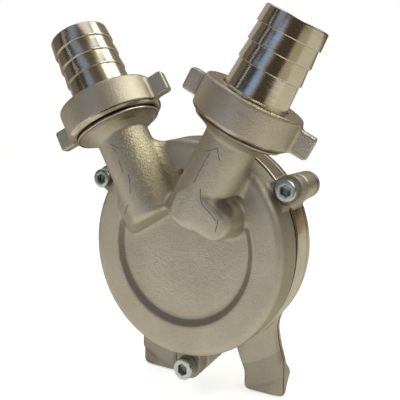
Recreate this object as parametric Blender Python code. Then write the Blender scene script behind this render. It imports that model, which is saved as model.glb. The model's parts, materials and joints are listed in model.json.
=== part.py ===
import math

import bmesh
import bpy
from mathutils import Matrix, Vector

# All sizes are in millimetres and are turned into metres when a mesh is made
MM = 0.001

# Clearances of plain seats and of fine fits, and the chamfers of edges
GAP = 0.3
FINE_GAP = 0.15
EDGE = 0.8
FINE_EDGE = 0.4

# How far a form reaches into the piece that it is joined to
ROOT = 3.0

# Height of the pump axis over the feet
AXIS_HEIGHT = 65.3

# Front cover and chamber: y is measured back from the cover's face
CHAMBER_R = 38.0
CHAMBER_FILLET = 2.0
COVER_SIDE_WALL = 7.3
COVER_RIM_R = CHAMBER_R + COVER_SIDE_WALL
COVER_DRAFT = 0.9
COVER_FILLET = 3.0
COVER_WALL = 3.7
RECESS_R = 32.1
RECESS_SLOPE = 2.5
RECESS_DEPTH = 1.9
CHAMBER_FRONT_Y = RECESS_DEPTH + COVER_WALL
CHAMBER_SKIN = 0.2
SEAM_Y = 14.7
SEAM_CHAMFER = 0.5

# Screws and their lugs
SCREW_OUT = 5.6
SCREW_CIRCLE_R = COVER_RIM_R + SCREW_OUT
SCREW_ANGLES = {"right": 30.0, "left": 150.0, "bottom": 270.0}
SCREW_R = 2.5
SCREW_HEAD_R = 4.25
SCREW_HEAD_H = 5.0
SCREW_HEAD_EDGE = 0.6
SCREW_LENGTH = 20.0
SCREW_SOCKET = 4.0
SCREW_SOCKET_DEPTH = 2.6
LUG_R = 5.75
LUG_T = 7.1
LUG_FRONT_Y = SEAM_Y - LUG_T
SCREW_HOLE_SPARE = 1.2
SCREW_HOLE_END_Y = LUG_FRONT_Y + SCREW_LENGTH + SCREW_HOLE_SPARE
BOSS_END_WALL = 3.1
BOSS_END_Y = SCREW_HOLE_END_Y + BOSS_END_WALL
BOSS_RING_FROM_END = 3.0
BOSS_RING_DEPTH = 0.4

# Ports: distances along a port are measured from the pump axis
PORT_ANGLE = 30.0
PORT_Y = -5.34
NECK_R = 11.0
NECK_WALL = 3.0
PORT_BORE_R = NECK_R - NECK_WALL
NECK_END = 14.5
NECK_END_ROUND = 2.6
NECK_END_WALL = 4.5
NECK_INNER_FILLET = 2.8
NECK_SINK = 0.3
SKIRT_ANGLE = 45.0
SKIRT_LOW = 27.0
SKIRT_TOP = 44.0
FLARE_OUT = 5.9
FLARE_START = COVER_RIM_R + FLARE_OUT
FLARE_LENGTH = 5.3
FLARE_CONE = 3.6
COLLAR_TOP = FLARE_START + FLARE_LENGTH
SPIGOT_R = 16.4
SPIGOT_LENGTH = 7.5
SPIGOT_TOP = COLLAR_TOP + SPIGOT_LENGTH
COLLAR_STEP = 1.6
COLLAR_R = SPIGOT_R + COLLAR_STEP
BORE_END = NECK_END + NECK_END_WALL
BORE_EDGE = 1.5
WINDOW_STEP = 1.5
WINDOW_R = PORT_BORE_R - WINDOW_STEP
WINDOW_AT = BORE_END + WINDOW_R + FINE_EDGE

# Lobe where the right neck turns into the cover, and the step in the neck's flank above it
LOBE_X = 18.3
LOBE_Z = 17.0
LOBE_R = 11.2
LOBE_TOP = 15.4
LOBE_SHOULDER_R = 6.6
LOBE_SHOULDER = 11.6
STEP_ALONG = 31.3
STEP_WALL = 1.0
STEP_ACROSS = PORT_BORE_R + STEP_WALL
STEP_FLANK = 2.4

# Unions: gasket, hose tail and wing nut, stacked on the spigot
GASKET_T = 1.6
GASKET_START = SPIGOT_TOP + FINE_GAP
TAIL_START = GASKET_START + GASKET_T + FINE_GAP
TAIL_FLANGE_STEP = 0.5
TAIL_FLANGE_R = SPIGOT_R - TAIL_FLANGE_STEP
TAIL_FLANGE_T = 2.9
TAIL_ROOT_R = 12.4
TAIL_WALL = 2.1
TAIL_BORE_R = TAIL_ROOT_R - TAIL_WALL
TAIL_REACH = 31.8
TAIL_SHOULDER = 0.6
TAIL_END_TAPER = 0.25
BARB_HEIGHT = 0.7
BARB_LAND = 0.4
BARB_PITCH = 7.15
BARB_COUNT = 3
TAIL_CREST_R = TAIL_ROOT_R + BARB_HEIGHT
NUT_FOOT_GAP = 0.6
NUT_BOTTOM = COLLAR_TOP + NUT_FOOT_GAP
NUT_BORE_R = SPIGOT_R + GAP
NUT_WALL = 3.8
NUT_R = NUT_BORE_R + NUT_WALL
NUT_LIP_Y = TAIL_START + TAIL_FLANGE_T + GAP
NUT_LIP_T = 1.6
NUT_LIP_GAP = 0.7
NUT_LIP_R = TAIL_CREST_R + NUT_LIP_GAP
NUT_TOP = NUT_LIP_Y + NUT_LIP_T
NUT_CHAMFER = 1.3
TAIL_END = NUT_TOP + TAIL_REACH
WING_OUT = 7.3
WING_REACH = NUT_R + WING_OUT
WING_LOW_INSET = 1.8
WING_TOP_INSET = 2.4
WING_LOW = NUT_BOTTOM + WING_LOW_INSET
WING_HIGH = NUT_TOP - WING_TOP_INSET
WING_HALF_T = 2.2
WING_CORNER = 1.3
WING_EDGE = 0.6
WING_TURN = {"left": -11.0, "right": -7.5}

# Rear casing
CASING_STEP = 0.2
CASING_R = COVER_RIM_R + CASING_STEP
CASING_FRONT_Y = SEAM_Y + GAP
CASING_LENGTH = 16.3
CASING_BACK_Y = CASING_FRONT_Y + CASING_LENGTH
CASING_LINE_FROM_BACK = 4.7
CASING_LINE_Y = CASING_BACK_Y - CASING_LINE_FROM_BACK
CASING_LINE_DEPTH = 0.7
CASING_DEPTH = 6.5
CASING_FLOOR_Y = CASING_FRONT_Y + CASING_DEPTH
CASING_WALL = 5.5
CASING_WALL_Y = CASING_FLOOR_Y + CASING_WALL
CASING_RIM_T = 5.5
CASING_RIM_IN_R = CASING_R - CASING_RIM_T
CASING_RIM_DRAFT = 1.5

# Seal ring between cover and casing
O_RING_WALL = 2.0
O_RING_WIRE = 1.1
O_GROOVE_SIDE = 0.3
O_GROOVE_IN_R = CHAMBER_R + O_RING_WALL
O_RING_R = O_GROOVE_IN_R + O_GROOVE_SIDE + O_RING_WIRE
O_GROOVE_OUT_R = O_RING_R + O_RING_WIRE + O_GROOVE_SIDE
O_GROOVE_DEPTH = 2 * O_RING_WIRE

# Legs and feet, seen from the front
LEG_T = 6.4
LEG_BACK_INSET = 0.3
LEG_BACK_Y = CASING_BACK_Y - LEG_BACK_INSET
LEG_FRONT_Y = LEG_BACK_Y - LEG_T
LEG_CREASE_OUT = 11.0
LEG_CREASE_R = CASING_R + LEG_CREASE_OUT
LEG_SLOPE = 6.0
LEG_IN_X = 12.0
LEG_SHOULDER_ANGLE = 38.5
LEG_WAIST_X = 32.6
LEG_WAIST_DROP = 38.5
LEG_WAIST_LEAN = 0.7
LEG_WAIST_BEND = 5.3
FOOT_IN_X = 18.0
FOOT_IN_H = 8.8
FOOT_OUT_X = 35.4
FOOT_OUT_H = 14.8
FOOT_CORNER = 2.0
HEEL_OUT = 5.5
HEEL_Y = LEG_BACK_Y + HEEL_OUT
HEEL_H = 8.3
HEEL_RISE = 5.6
HEEL_NOSE = 0.6
HEEL_IN_INSET = 0.9
HEEL_BOTTOM_INSET = 1.2
HEEL_BOTTOM_Y = LEG_BACK_Y - HEEL_BOTTOM_INSET
HEEL_BEVEL = 45.0

# Shaft, shaft seal and ball bearing, from the casing's floor to the back
SHAFT_R = 6.0
SHAFT_BORE_R = SHAFT_R + FINE_GAP
SHAFT_HOLE_GAP = 0.8
SHAFT_HOLE_R = SHAFT_R + SHAFT_HOLE_GAP
SEAL_POCKET_DEPTH = 11.5
SEAL_POCKET_Y = CASING_FLOOR_Y + SEAL_POCKET_DEPTH
SEAL_CUP_R = 12.35
SEAL_POCKET_R = SEAL_CUP_R + FINE_GAP
SEAL_CUP_SIDE = 2.3
SEAL_CUP_FLOOR = 0.6
SEAL_CUP_LIP = 0.3
SEAL_SEAT_R = SEAL_CUP_R - SEAL_CUP_SIDE - FINE_GAP
SEAL_SEAT_T = 3.6
SEAL_SEAT_GAP = 0.4
SEAL_RING_R = 10.2
SEAL_RING_T = 2.3
SPRING_WIRE = 0.55
SPRING_R = 8.9
SPRING_TURNS = 2.5
BEARING_WALL = 2.8
BEARING_SEAT_Y = SEAL_POCKET_Y + BEARING_WALL
BEARING_R = 14.0
BEARING_W = 8.0
BEARING_BACK_Y = BEARING_SEAT_Y + FINE_GAP + BEARING_W
BEARING_EDGE = 0.4
BALL_R = 2.38
BALL_COUNT = 8
BALL_PITCH_R = (BEARING_R + SHAFT_BORE_R) / 2
RACE_GAP = 0.14
RACE_LAND = 1.75
CAGE_HALF = 1.2
CAGE_T = 0.9
CAGE_GAP = 0.25
FINGER_HALF = 0.9
FINGER_HALF_T = 0.6
CLIP_T = 0.9
CLIP_GROOVE_DEPTH = 0.7
CLIP_WIDTH = 2.15
CLIP_GAP_ANGLE = 50.0
BORE_CLIP_T = 1.1
BORE_CLIP_WIDTH = 2.8
BORE_GROOVE_DEPTH = 1.15
BORE_CLIP_Y = BEARING_BACK_Y + FINE_GAP
SHAFT_CLIP_Y = BEARING_BACK_Y + FINE_GAP
HUB_WALL = 5.5
HUB_R = BEARING_R + HUB_WALL
HUB_FOOT = 3.0
HUB_LIP = 1.8
HUB_END_Y = BORE_CLIP_Y + BORE_CLIP_T + HUB_LIP
SHAFT_OUT = 25.0
BACK_REACH = HUB_END_Y + SHAFT_OUT
SHAFT_FLAT_DEPTH = 1.2
SHAFT_FLAT_LENGTH = 20.0

# Impeller and its key
SHAFT_END_GAP = 0.8
SHAFT_FRONT_Y = CHAMBER_FRONT_Y + SHAFT_END_GAP
CLIP_LAND = 0.6
IMPELLER_CLIP_Y = SHAFT_FRONT_Y + CLIP_LAND + FINE_GAP
IMPELLER_FRONT_Y = IMPELLER_CLIP_Y + CLIP_T + FINE_GAP
IMPELLER_BACK_GAP = 0.6
IMPELLER_BACK_Y = CASING_FLOOR_Y - IMPELLER_BACK_GAP
IMPELLER_HUB_R = 10.5
IMPELLER_TIP_GAP = 1.5
IMPELLER_R = CHAMBER_R - IMPELLER_TIP_GAP
BLADE_COUNT = 10
BLADE_HALF_T = 1.6
BLADE_ROOT_HALF_T = 2.0
BLADE_EDGE = 1.0
BLADE_GAP = 1.5
KEY_HALF = 1.6
KEY_LENGTH = 9.0
KEY_DEPTH = 1.9

# Facets
FINE = 36
ROUND = 24
SMALL = 16
HIDDEN = 22


def remove_everything():
    for obj in list(bpy.data.objects):
        bpy.data.objects.remove(obj, do_unlink=True)
    for mesh in list(bpy.data.meshes):
        bpy.data.meshes.remove(mesh)


def empty(name, matrix, parent=None):
    obj = bpy.data.objects.new(name, None)
    obj.empty_display_size = 0.01
    bpy.context.collection.objects.link(obj)
    obj.parent = parent
    obj.matrix_basis = matrix
    return obj


def material(name, colour, roughness, metallic):
    mat = bpy.data.materials.new(name)
    mat.use_nodes = True
    shader = mat.node_tree.nodes["Principled BSDF"]
    shader.inputs["Base Color"].default_value = (*colour, 1.0)
    shader.inputs["Roughness"].default_value = roughness
    shader.inputs["Metallic"].default_value = metallic
    mat.diffuse_color = (*colour, 1.0)
    return mat


def finish_mesh(name, bm):
    bmesh.ops.remove_doubles(bm, verts=bm.verts, dist=1e-5)
    bmesh.ops.recalc_face_normals(bm, faces=bm.faces)
    bmesh.ops.connect_verts_nonplanar(bm, angle_limit=0.001, faces=bm.faces)
    bmesh.ops.scale(bm, vec=(MM, MM, MM), verts=bm.verts)
    mesh = bpy.data.meshes.new(name)
    bm.to_mesh(mesh)
    bm.free()
    obj = bpy.data.objects.new(name, mesh)
    bpy.context.collection.objects.link(obj)
    return obj


def place_verts(bm, matrix):
    if matrix is not None:
        bmesh.ops.transform(bm, matrix=matrix, verts=bm.verts)


def lathe(name, profile, segments, matrix=None):
    """Turn a closed (radius, y) profile about the y axis. Radius 0 gives a pole."""
    bm = bmesh.new()
    segments = round(segments)
    rings = []
    for r, y in profile:
        if r == 0:
            rings.append([bm.verts.new((0, y, 0))])
            continue
        ring = []
        for k in range(segments):
            t = 2 * math.pi * k / segments
            ring.append(bm.verts.new((r * math.cos(t), y, r * math.sin(t))))
        rings.append(ring)
    pairs = list(zip(rings, rings[1:]))
    if profile[0][0] > 0:
        pairs.append((rings[-1], rings[0]))
    for a, b in pairs:
        for k in range(segments):
            m = (k + 1) % segments
            if len(a) == 1 and len(b) == 1:
                continue
            if len(a) == 1:
                bm.faces.new((a[0], b[k], b[m]))
            elif len(b) == 1:
                bm.faces.new((a[k], b[0], a[m]))
            else:
                bm.faces.new((a[k], b[k], b[m], a[m]))
    place_verts(bm, matrix)
    return finish_mesh(name, bm)


def loft(name, sections, matrix=None):
    """Join closed rings of points that all have the same count, with flat end caps."""
    bm = bmesh.new()
    rings = [[bm.verts.new(p) for p in ring] for ring in sections]
    count = len(rings[0])
    for a, b in zip(rings, rings[1:]):
        for k in range(count):
            m = (k + 1) % count
            bm.faces.new((a[k], a[m], b[m], b[k]))
    bm.faces.new(list(reversed(rings[0])))
    bm.faces.new(rings[-1])
    place_verts(bm, matrix)
    return finish_mesh(name, bm)


def prism_y(name, outline, y0, y1, matrix=None):
    """Extrude an (x, z) outline along y."""
    return loft(name, [[(x, y, z) for x, z in outline] for y in (y0, y1)], matrix)


def prism_x(name, outline, x0, x1, matrix=None):
    """Extrude a (y, z) outline along x."""
    return loft(name, [[(x, y, z) for y, z in outline] for x in (x0, x1)], matrix)


def cylinder_y(name, r, y0, y1, x=0.0, z=0.0, segments=SMALL):
    outline = [(x + r * math.cos(t), z + r * math.sin(t)) for t in turn(segments)]
    return prism_y(name, outline, y0, y1)


def turn(count, start=0.0, end=2 * math.pi, closed=True):
    count = round(count)
    steps = count if closed else count - 1
    return [start + (end - start) * k / steps for k in range(count)]


def tube(name, path, wire, sides):
    """Sweep a round wire along a path of points, with flat ends."""
    sections = []
    points = [Vector(p) for p in path]
    for k, p in enumerate(points):
        before = points[max(k - 1, 0)]
        after = points[min(k + 1, len(points) - 1)]
        along = (after - before).normalized()
        out = Vector((p.x, 0, p.z)).normalized()
        up = along.cross(out).normalized()
        out = up.cross(along).normalized()
        ring = []
        for t in turn(sides):
            ring.append(p + wire * (math.cos(t) * out + math.sin(t) * up))
        sections.append(ring)
    return loft(name, sections)


def open_ring(name, r_in, r_out, y0, y1, segments):
    """A flat spring clip: a ring with a gap at the top."""
    half = math.radians(CLIP_GAP_ANGLE) / 2
    start = math.pi / 2
    sections = []
    for t in turn(segments, start + half, start + 2 * math.pi - half, closed=False):
        c, s = math.cos(t), math.sin(t)
        corners = ((r_in, y0), (r_out, y0), (r_out, y1), (r_in, y1))
        sections.append([(r * c, y, r * s) for r, y in corners])
    return loft(name, sections)


def combine(base, others, operation):
    """Apply exact booleans in turn and remove the cutters."""
    for other in others:
        mod = base.modifiers.new("cut", "BOOLEAN")
        mod.solver = "EXACT"
        mod.operation = operation
        mod.object = other
        bpy.context.view_layer.update()
        graph = bpy.context.evaluated_depsgraph_get()
        mesh = bpy.data.meshes.new_from_object(base.evaluated_get(graph))
        base.modifiers.remove(mod)
        old = base.data
        base.data = mesh
        bpy.data.meshes.remove(old)
        bpy.data.objects.remove(other, do_unlink=True)
    return base


def dress(obj, name, mat, parent, sharp=32.0):
    """Name a finished node, merge slivers, shade it and hang it on its frame."""
    bm = bmesh.new()
    bm.from_mesh(obj.data)
    bmesh.ops.dissolve_degenerate(bm, dist=2e-6, edges=bm.edges)
    bmesh.ops.remove_doubles(bm, verts=bm.verts, dist=2e-6)
    bmesh.ops.triangulate(bm, faces=[f for f in bm.faces if len(f.verts) > 4])
    bm.to_mesh(obj.data)
    bm.free()
    obj.name = name
    obj.data.name = name
    obj.data.materials.clear()
    obj.data.materials.append(mat)
    obj.data.shade_smooth()
    obj.data.set_sharp_from_angle(angle=math.radians(sharp))
    obj.parent = parent
    obj.matrix_basis = Matrix.Identity(4)
    return obj


def port_matrix(sign):
    """Port frame in the pump frame: x across, y out along the port, z to the front."""
    s = math.sin(math.radians(PORT_ANGLE))
    c = math.cos(math.radians(PORT_ANGLE))
    columns = ((c, 0, -sign * s), (sign * s, 0, c), (0, -1, 0))
    m = Matrix.Identity(4)
    for k, column in enumerate(columns):
        for j in range(3):
            m[j][k] = column[j]
    m[1][3] = PORT_Y
    return m


def bend(start, middle, end, count):
    """Points along a quadratic curve, without its last one."""
    points = []
    for k in range(count):
        f = k / count
        a, b, c = (1 - f) ** 2, 2 * f * (1 - f), f ** 2
        points.append(tuple(a * s + b * m + c * e for s, m, e in zip(start, middle, end)))
    return points


def screw_place(key):
    t = math.radians(SCREW_ANGLES[key])
    return SCREW_CIRCLE_R * math.cos(t), SCREW_CIRCLE_R * math.sin(t)


def lug_outline(key, inner_r, half):
    """A tongue from the body out to a half round about a screw."""
    t = math.radians(SCREW_ANGLES[key])
    points = [(inner_r, half), (inner_r, -half)]
    for a in turn(11, -math.pi / 2, math.pi / 2, closed=False):
        points.append((SCREW_CIRCLE_R + half * math.cos(a), half * math.sin(a)))
    c, s = math.cos(t), math.sin(t)
    return [(u * c - v * s, u * s + v * c) for u, v in points]


def cover_profile():
    rim_front = COVER_RIM_R - COVER_DRAFT
    profile = [(0, RECESS_DEPTH), (RECESS_R - RECESS_SLOPE, RECESS_DEPTH), (RECESS_R, 0)]
    for a in turn(6, math.pi / 2, 0.0, closed=False):
        r = rim_front - COVER_FILLET + COVER_FILLET * math.cos(a)
        profile.append((r, COVER_FILLET - COVER_FILLET * math.sin(a)))
    profile += [
        (COVER_RIM_R, SEAM_Y - SEAM_CHAMFER), (COVER_RIM_R - SEAM_CHAMFER, SEAM_Y), (CHAMBER_R, SEAM_Y),
        (CHAMBER_R, CHAMBER_FRONT_Y + CHAMBER_FILLET), (CHAMBER_R - CHAMBER_FILLET, CHAMBER_FRONT_Y),
        (0, CHAMBER_FRONT_Y),
    ]
    return profile


def steep_side(r, fillet, foot):
    """Side of a neck from its crown: a quarter round, then a filleted flank down to the face."""
    points = [(r * math.sin(a), r * math.cos(a)) for a in turn(9, 0.0, math.pi / 2, closed=False)]
    return points + [(r + fillet * f ** 2.5, foot * f) for f in (0.35, 0.6, 0.8, 1.0)]


def sloping_side(r, foot):
    """Side of a neck from its crown: a part round, then a straight slope down to the face."""
    end = math.radians(SKIRT_ANGLE)
    points = [(r * math.sin(a), r * math.cos(a)) for a in turn(8, 0.0, end, closed=False)]
    x, z = points[-1]
    drop = z - foot
    reach = drop / math.tan(end)
    return points + [(x + reach * f, z - drop * f) for f in (0.2, 0.4, 0.6, 0.8, 1.0)]


def between(a, b, share):
    return tuple(u + (v - u) * share for u, v in zip(a, b))


def cut_side(r, foot):
    """Side of a neck from its crown: a part round, then a straight drop to the face."""
    end = math.asin(STEP_ACROSS / NECK_R)
    points = [(r * math.sin(a), r * math.cos(a)) for a in turn(9, 0.0, end, closed=False)]
    x, z = points[-1]
    return points + [(x, z + (foot - z) * f) for f in (0.35, 0.6, 0.8, 1.0)]


def neck(sign):
    """Half-round neck that runs down into the cover, rounded at its low end. The right one has a step."""
    base_z = PORT_Y - CHAMBER_FRONT_Y + CHAMBER_SKIN
    low = SKIRT_LOW if sign < 0 else STEP_ALONG + FINE_EDGE
    foot = PORT_Y - NECK_SINK if sign < 0 else PORT_Y - 2 * NECK_SINK
    steps = []
    for a in turn(5, 0.0, math.pi / 2, closed=False):
        along = NECK_END_ROUND * (1 - math.cos(a))
        steps.append((NECK_END + along, NECK_END_ROUND * (1 - math.sin(a))))
    if sign > 0:
        steps.append((STEP_ALONG, 0.0))
    for y in (low, (low + SKIRT_TOP) / 2, SKIRT_TOP, FLARE_START + FINE_EDGE):
        steps.append((y, 0.0))
    sections = []
    for y, inset in steps:
        r = NECK_R - inset
        inner = steep_side(r, NECK_INNER_FILLET, foot)
        share = min(max((SKIRT_TOP - y) / (SKIRT_TOP - low), 0.0), 1.0)
        outer = steep_side(r, STEP_FLANK * share, foot)
        if sign < 0:
            outer = [between(a, b, share) for a, b in zip(outer, sloping_side(r, foot))]
        elif y <= STEP_ALONG:
            outer = cut_side(r, foot)
        left, right = (outer, inner) if sign < 0 else (inner, outer)
        ring = [(right[-1][0], y, base_z)] + [(x, y, z) for x, z in reversed(right)]
        ring += [(-x, y, z) for x, z in left[1:]] + [(-left[-1][0], y, base_z)]
        sections.append(ring)
    return loft("neck", sections, port_matrix(sign))


def collar(sign):
    """Flared collar and spigot on a port: a hollow curve leads from the neck out to a wide cone."""
    foot = (NECK_R - FINE_EDGE / 2, FLARE_START)
    edge = COLLAR_TOP - EDGE
    profile = [(0, FLARE_START - ROOT), (NECK_R - FINE_EDGE, FLARE_START - ROOT)]
    profile += bend(foot, (NECK_R, edge - FLARE_CONE), (COLLAR_R, edge), 4)
    profile += [(COLLAR_R, edge), (COLLAR_R, COLLAR_TOP - FINE_EDGE), (COLLAR_R - FINE_EDGE, COLLAR_TOP),
                (SPIGOT_R, COLLAR_TOP), (SPIGOT_R, SPIGOT_TOP - EDGE), (SPIGOT_R - EDGE, SPIGOT_TOP),
                (0, SPIGOT_TOP)]
    return lathe("collar", profile, ROUND, port_matrix(sign))


def lobe():
    """Domed lobe with a sloping side."""
    base = CHAMBER_FRONT_Y - CHAMBER_SKIN
    lean = (LOBE_R - LOBE_SHOULDER_R) / LOBE_SHOULDER
    corner = LOBE_SHOULDER_R - lean * (LOBE_TOP - LOBE_SHOULDER)
    shoulder = (LOBE_SHOULDER_R, -LOBE_SHOULDER)
    profile = [(0, -LOBE_TOP)] + bend((corner / 2, -LOBE_TOP), (corner, -LOBE_TOP), shoulder, 4)
    profile += [shoulder, (LOBE_R + lean * base, base), (0, base)]
    return lathe("lobe", profile, ROUND, Matrix.Translation((LOBE_X, 0, LOBE_Z)))


def port_cutter(sign):
    """Bore of a port and the window from it into the chamber."""
    past = SPIGOT_TOP + ROOT
    profile = [(0, BORE_END), (PORT_BORE_R - BORE_EDGE, BORE_END), (PORT_BORE_R, BORE_END + BORE_EDGE),
               (PORT_BORE_R, past), (0, past)]
    x = sign * WINDOW_AT * math.sin(math.radians(PORT_ANGLE))
    z = WINDOW_AT * math.cos(math.radians(PORT_ANGLE))
    window = cylinder_y("window", WINDOW_R, PORT_Y + EDGE, SEAM_Y, x, z)
    return combine(lathe("bore", profile, HIDDEN, port_matrix(sign)), [window], "UNION")


def screw_hole(key, y0, y1):
    x, z = screw_place(key)
    return cylinder_y("hole", SCREW_R + GAP, y0, y1, x, z)


def build_cover():
    body = lathe("front_cover", cover_profile(), FINE)
    adds = [neck(-1), neck(1), lobe(), collar(-1), collar(1)]
    for key in SCREW_ANGLES:
        outline = lug_outline(key, COVER_RIM_R - ROOT - COVER_DRAFT, LUG_R)
        adds.append(prism_y("lug", outline, LUG_FRONT_Y, SEAM_Y - FINE_GAP))
    combine(body, adds, "UNION")
    cuts = [port_cutter(-1), port_cutter(1)]
    cuts += [screw_hole(key, LUG_FRONT_Y - ROOT, SEAM_Y + ROOT) for key in SCREW_ANGLES]
    return combine(body, cuts, "DIFFERENCE")


def casing_profile():
    front, back = CASING_FRONT_Y, CASING_BACK_Y
    d = CASING_LINE_DEPTH
    seat_r = BEARING_R + FINE_GAP
    groove_r = BEARING_R + BORE_GROOVE_DEPTH
    groove_y = BORE_CLIP_Y + BORE_CLIP_T + FINE_GAP
    return [
        (CHAMBER_R, CASING_FLOOR_Y), (CHAMBER_R, front), (O_GROOVE_IN_R, front),
        (O_GROOVE_IN_R, front + O_GROOVE_DEPTH), (O_GROOVE_OUT_R, front + O_GROOVE_DEPTH),
        (O_GROOVE_OUT_R, front), (CASING_R - EDGE, front), (CASING_R, front + EDGE),
        (CASING_R, CASING_LINE_Y - d), (CASING_R - d, CASING_LINE_Y), (CASING_R, CASING_LINE_Y + d),
        (CASING_R, back - EDGE), (CASING_R - EDGE, back), (CASING_RIM_IN_R, back),
        (CASING_RIM_IN_R - CASING_RIM_DRAFT, CASING_WALL_Y), (HUB_R + HUB_FOOT, CASING_WALL_Y),
        (HUB_R + 0.3 * HUB_FOOT, CASING_WALL_Y + 0.3 * HUB_FOOT), (HUB_R, CASING_WALL_Y + HUB_FOOT),
        (HUB_R, HUB_END_Y - EDGE), (HUB_R - EDGE, HUB_END_Y), (seat_r, HUB_END_Y), (seat_r, groove_y),
        (groove_r, groove_y), (groove_r, BEARING_BACK_Y), (seat_r, BEARING_BACK_Y), (seat_r, BEARING_SEAT_Y),
        (SHAFT_HOLE_R, BEARING_SEAT_Y), (SHAFT_HOLE_R, SEAL_POCKET_Y), (SEAL_POCKET_R, SEAL_POCKET_Y),
        (SEAL_POCKET_R, CASING_FLOOR_Y),
    ]


def boss(key):
    """Screw boss behind the seam, with the line round it near its end."""
    ring_y = BOSS_END_Y - BOSS_RING_FROM_END
    d = BOSS_RING_DEPTH
    steps = [(CASING_FRONT_Y + FINE_GAP, 0.0), (ring_y - d, 0.0), (ring_y, d), (ring_y + d, 0.0),
             (BOSS_END_Y - EDGE, 0.0), (BOSS_END_Y, EDGE)]
    sections = []
    for y, inset in steps:
        outline = lug_outline(key, CASING_R - ROOT, LUG_R - inset)
        sections.append([(x, y, z) for x, z in outline])
    return loft("boss", sections)


def leg_outline(sign):
    """Outline of a leg from its root in the casing down the inner side, round the foot and up again."""
    root_r = CASING_R - ROOT
    bottom = -AXIS_HEIGHT
    top = (LEG_IN_X, -math.sqrt(root_r ** 2 - LEG_IN_X ** 2))
    ankle = (FOOT_IN_X, bottom + FOOT_IN_H)
    knee = ((LEG_IN_X + FOOT_IN_X) / 2, top[1] + 0.64 * (ankle[1] - top[1]))
    waist = (LEG_WAIST_X, -LEG_WAIST_DROP)
    above = (LEG_WAIST_X - LEG_WAIST_LEAN, -LEG_WAIST_DROP + LEG_WAIST_BEND)
    below = (LEG_WAIST_X + LEG_WAIST_LEAN, -LEG_WAIST_DROP - LEG_WAIST_BEND)
    calf = (FOOT_OUT_X, bottom + FOOT_OUT_H)
    a = math.radians(LEG_SHOULDER_ANGLE)
    shoulder = ((CASING_R - GAP) * math.cos(a), -(CASING_R - GAP) * math.sin(a))
    c = FOOT_CORNER
    points = bend(top, knee, ankle, 4) + [ankle]
    points += bend((FOOT_IN_X, bottom + c), (FOOT_IN_X, bottom), (FOOT_IN_X + c, bottom), 2)
    points.append((FOOT_IN_X + c, bottom))
    points += bend((FOOT_OUT_X - c, bottom), (FOOT_OUT_X, bottom), (FOOT_OUT_X, bottom + c), 2)
    points.append((FOOT_OUT_X, bottom + c))
    points += bend(calf, below, waist, 3) + bend(waist, above, shoulder, 4)
    points += [shoulder, (root_r * math.cos(a), -root_r * math.sin(a))]
    return [(sign * x, z) for x, z in points]


def slope_cutter():
    """Thins the feet towards the front, outside a round crease."""
    far = 2 * AXIS_HEIGHT
    rise = (far - LEG_CREASE_R) * math.tan(math.radians(LEG_SLOPE))
    before = LEG_FRONT_Y - ROOT
    profile = [(LEG_CREASE_R, before), (LEG_CREASE_R, LEG_FRONT_Y), (far, LEG_FRONT_Y + rise), (far, before)]
    return lathe("slope", profile, FINE)


def heel(sign):
    """Ledge behind a foot."""
    bottom = -AXIS_HEIGHT
    z = bottom + HEEL_H
    outline = [(LEG_BACK_Y - FINE_EDGE, z + HEEL_RISE), (HEEL_Y - HEEL_NOSE, z + HEEL_NOSE),
               (HEEL_Y, z - HEEL_NOSE), (HEEL_Y - HEEL_NOSE, bottom), (LEG_BACK_Y - ROOT, bottom)]
    return prism_x("heel", outline, sign * (FOOT_IN_X + HEEL_IN_INSET), sign * FOOT_OUT_X)


def heel_bevel(sign):
    """Cutter that leaves a narrow land to stand on."""
    far = ROOT + HEEL_Y - HEEL_BOTTOM_Y
    rise = far * math.tan(math.radians(HEEL_BEVEL))
    y, z = HEEL_BOTTOM_Y, -AXIS_HEIGHT
    outline = [(y, z - ROOT), (y, z), (y + far, z + rise), (y + far, z - ROOT)]
    return prism_x("bevel", outline, sign * (FOOT_IN_X - ROOT), sign * (FOOT_OUT_X + ROOT))


def build_casing():
    body = lathe("rear_casing", casing_profile(), FINE)
    adds = [boss(key) for key in SCREW_ANGLES]
    for sign in (-1, 1):
        leg = prism_y("leg", leg_outline(sign), LEG_FRONT_Y - FINE_GAP, LEG_BACK_Y)
        adds += [combine(leg, [slope_cutter()], "DIFFERENCE"), heel(sign)]
    combine(body, adds, "UNION")
    cuts = [screw_hole(key, SEAM_Y - ROOT, SCREW_HOLE_END_Y) for key in SCREW_ANGLES]
    cuts += [heel_bevel(-1), heel_bevel(1)]
    return combine(body, cuts, "DIFFERENCE")


def build_screw(key):
    x, z = screw_place(key)
    seat = LUG_FRONT_Y - FINE_GAP
    head = seat - SCREW_HEAD_H
    tip = seat + SCREW_LENGTH
    e = SCREW_HEAD_EDGE
    profile = [(0, head), (SCREW_HEAD_R - e, head), (SCREW_HEAD_R, head + e), (SCREW_HEAD_R, seat),
               (SCREW_R, seat), (SCREW_R, tip - EDGE), (SCREW_R - EDGE, tip), (0, tip)]
    body = lathe("screw", profile, SMALL, Matrix.Translation((x, 0, z)))
    r = SCREW_SOCKET / 2 / math.cos(math.pi / 6)
    hexagon = [(x + r * math.cos(t), z + r * math.sin(t)) for t in turn(6)]
    socket = prism_y("socket", hexagon, head - ROOT, head + SCREW_SOCKET_DEPTH)
    return combine(body, [socket], "DIFFERENCE")


def build_o_ring():
    wire = []
    for t in turn(6):
        y = SEAM_Y + FINE_GAP + O_RING_WIRE * (1 + math.sin(t))
        wire.append((O_RING_R + O_RING_WIRE * math.cos(t), y))
    return lathe("o_ring", wire, FINE)


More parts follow.
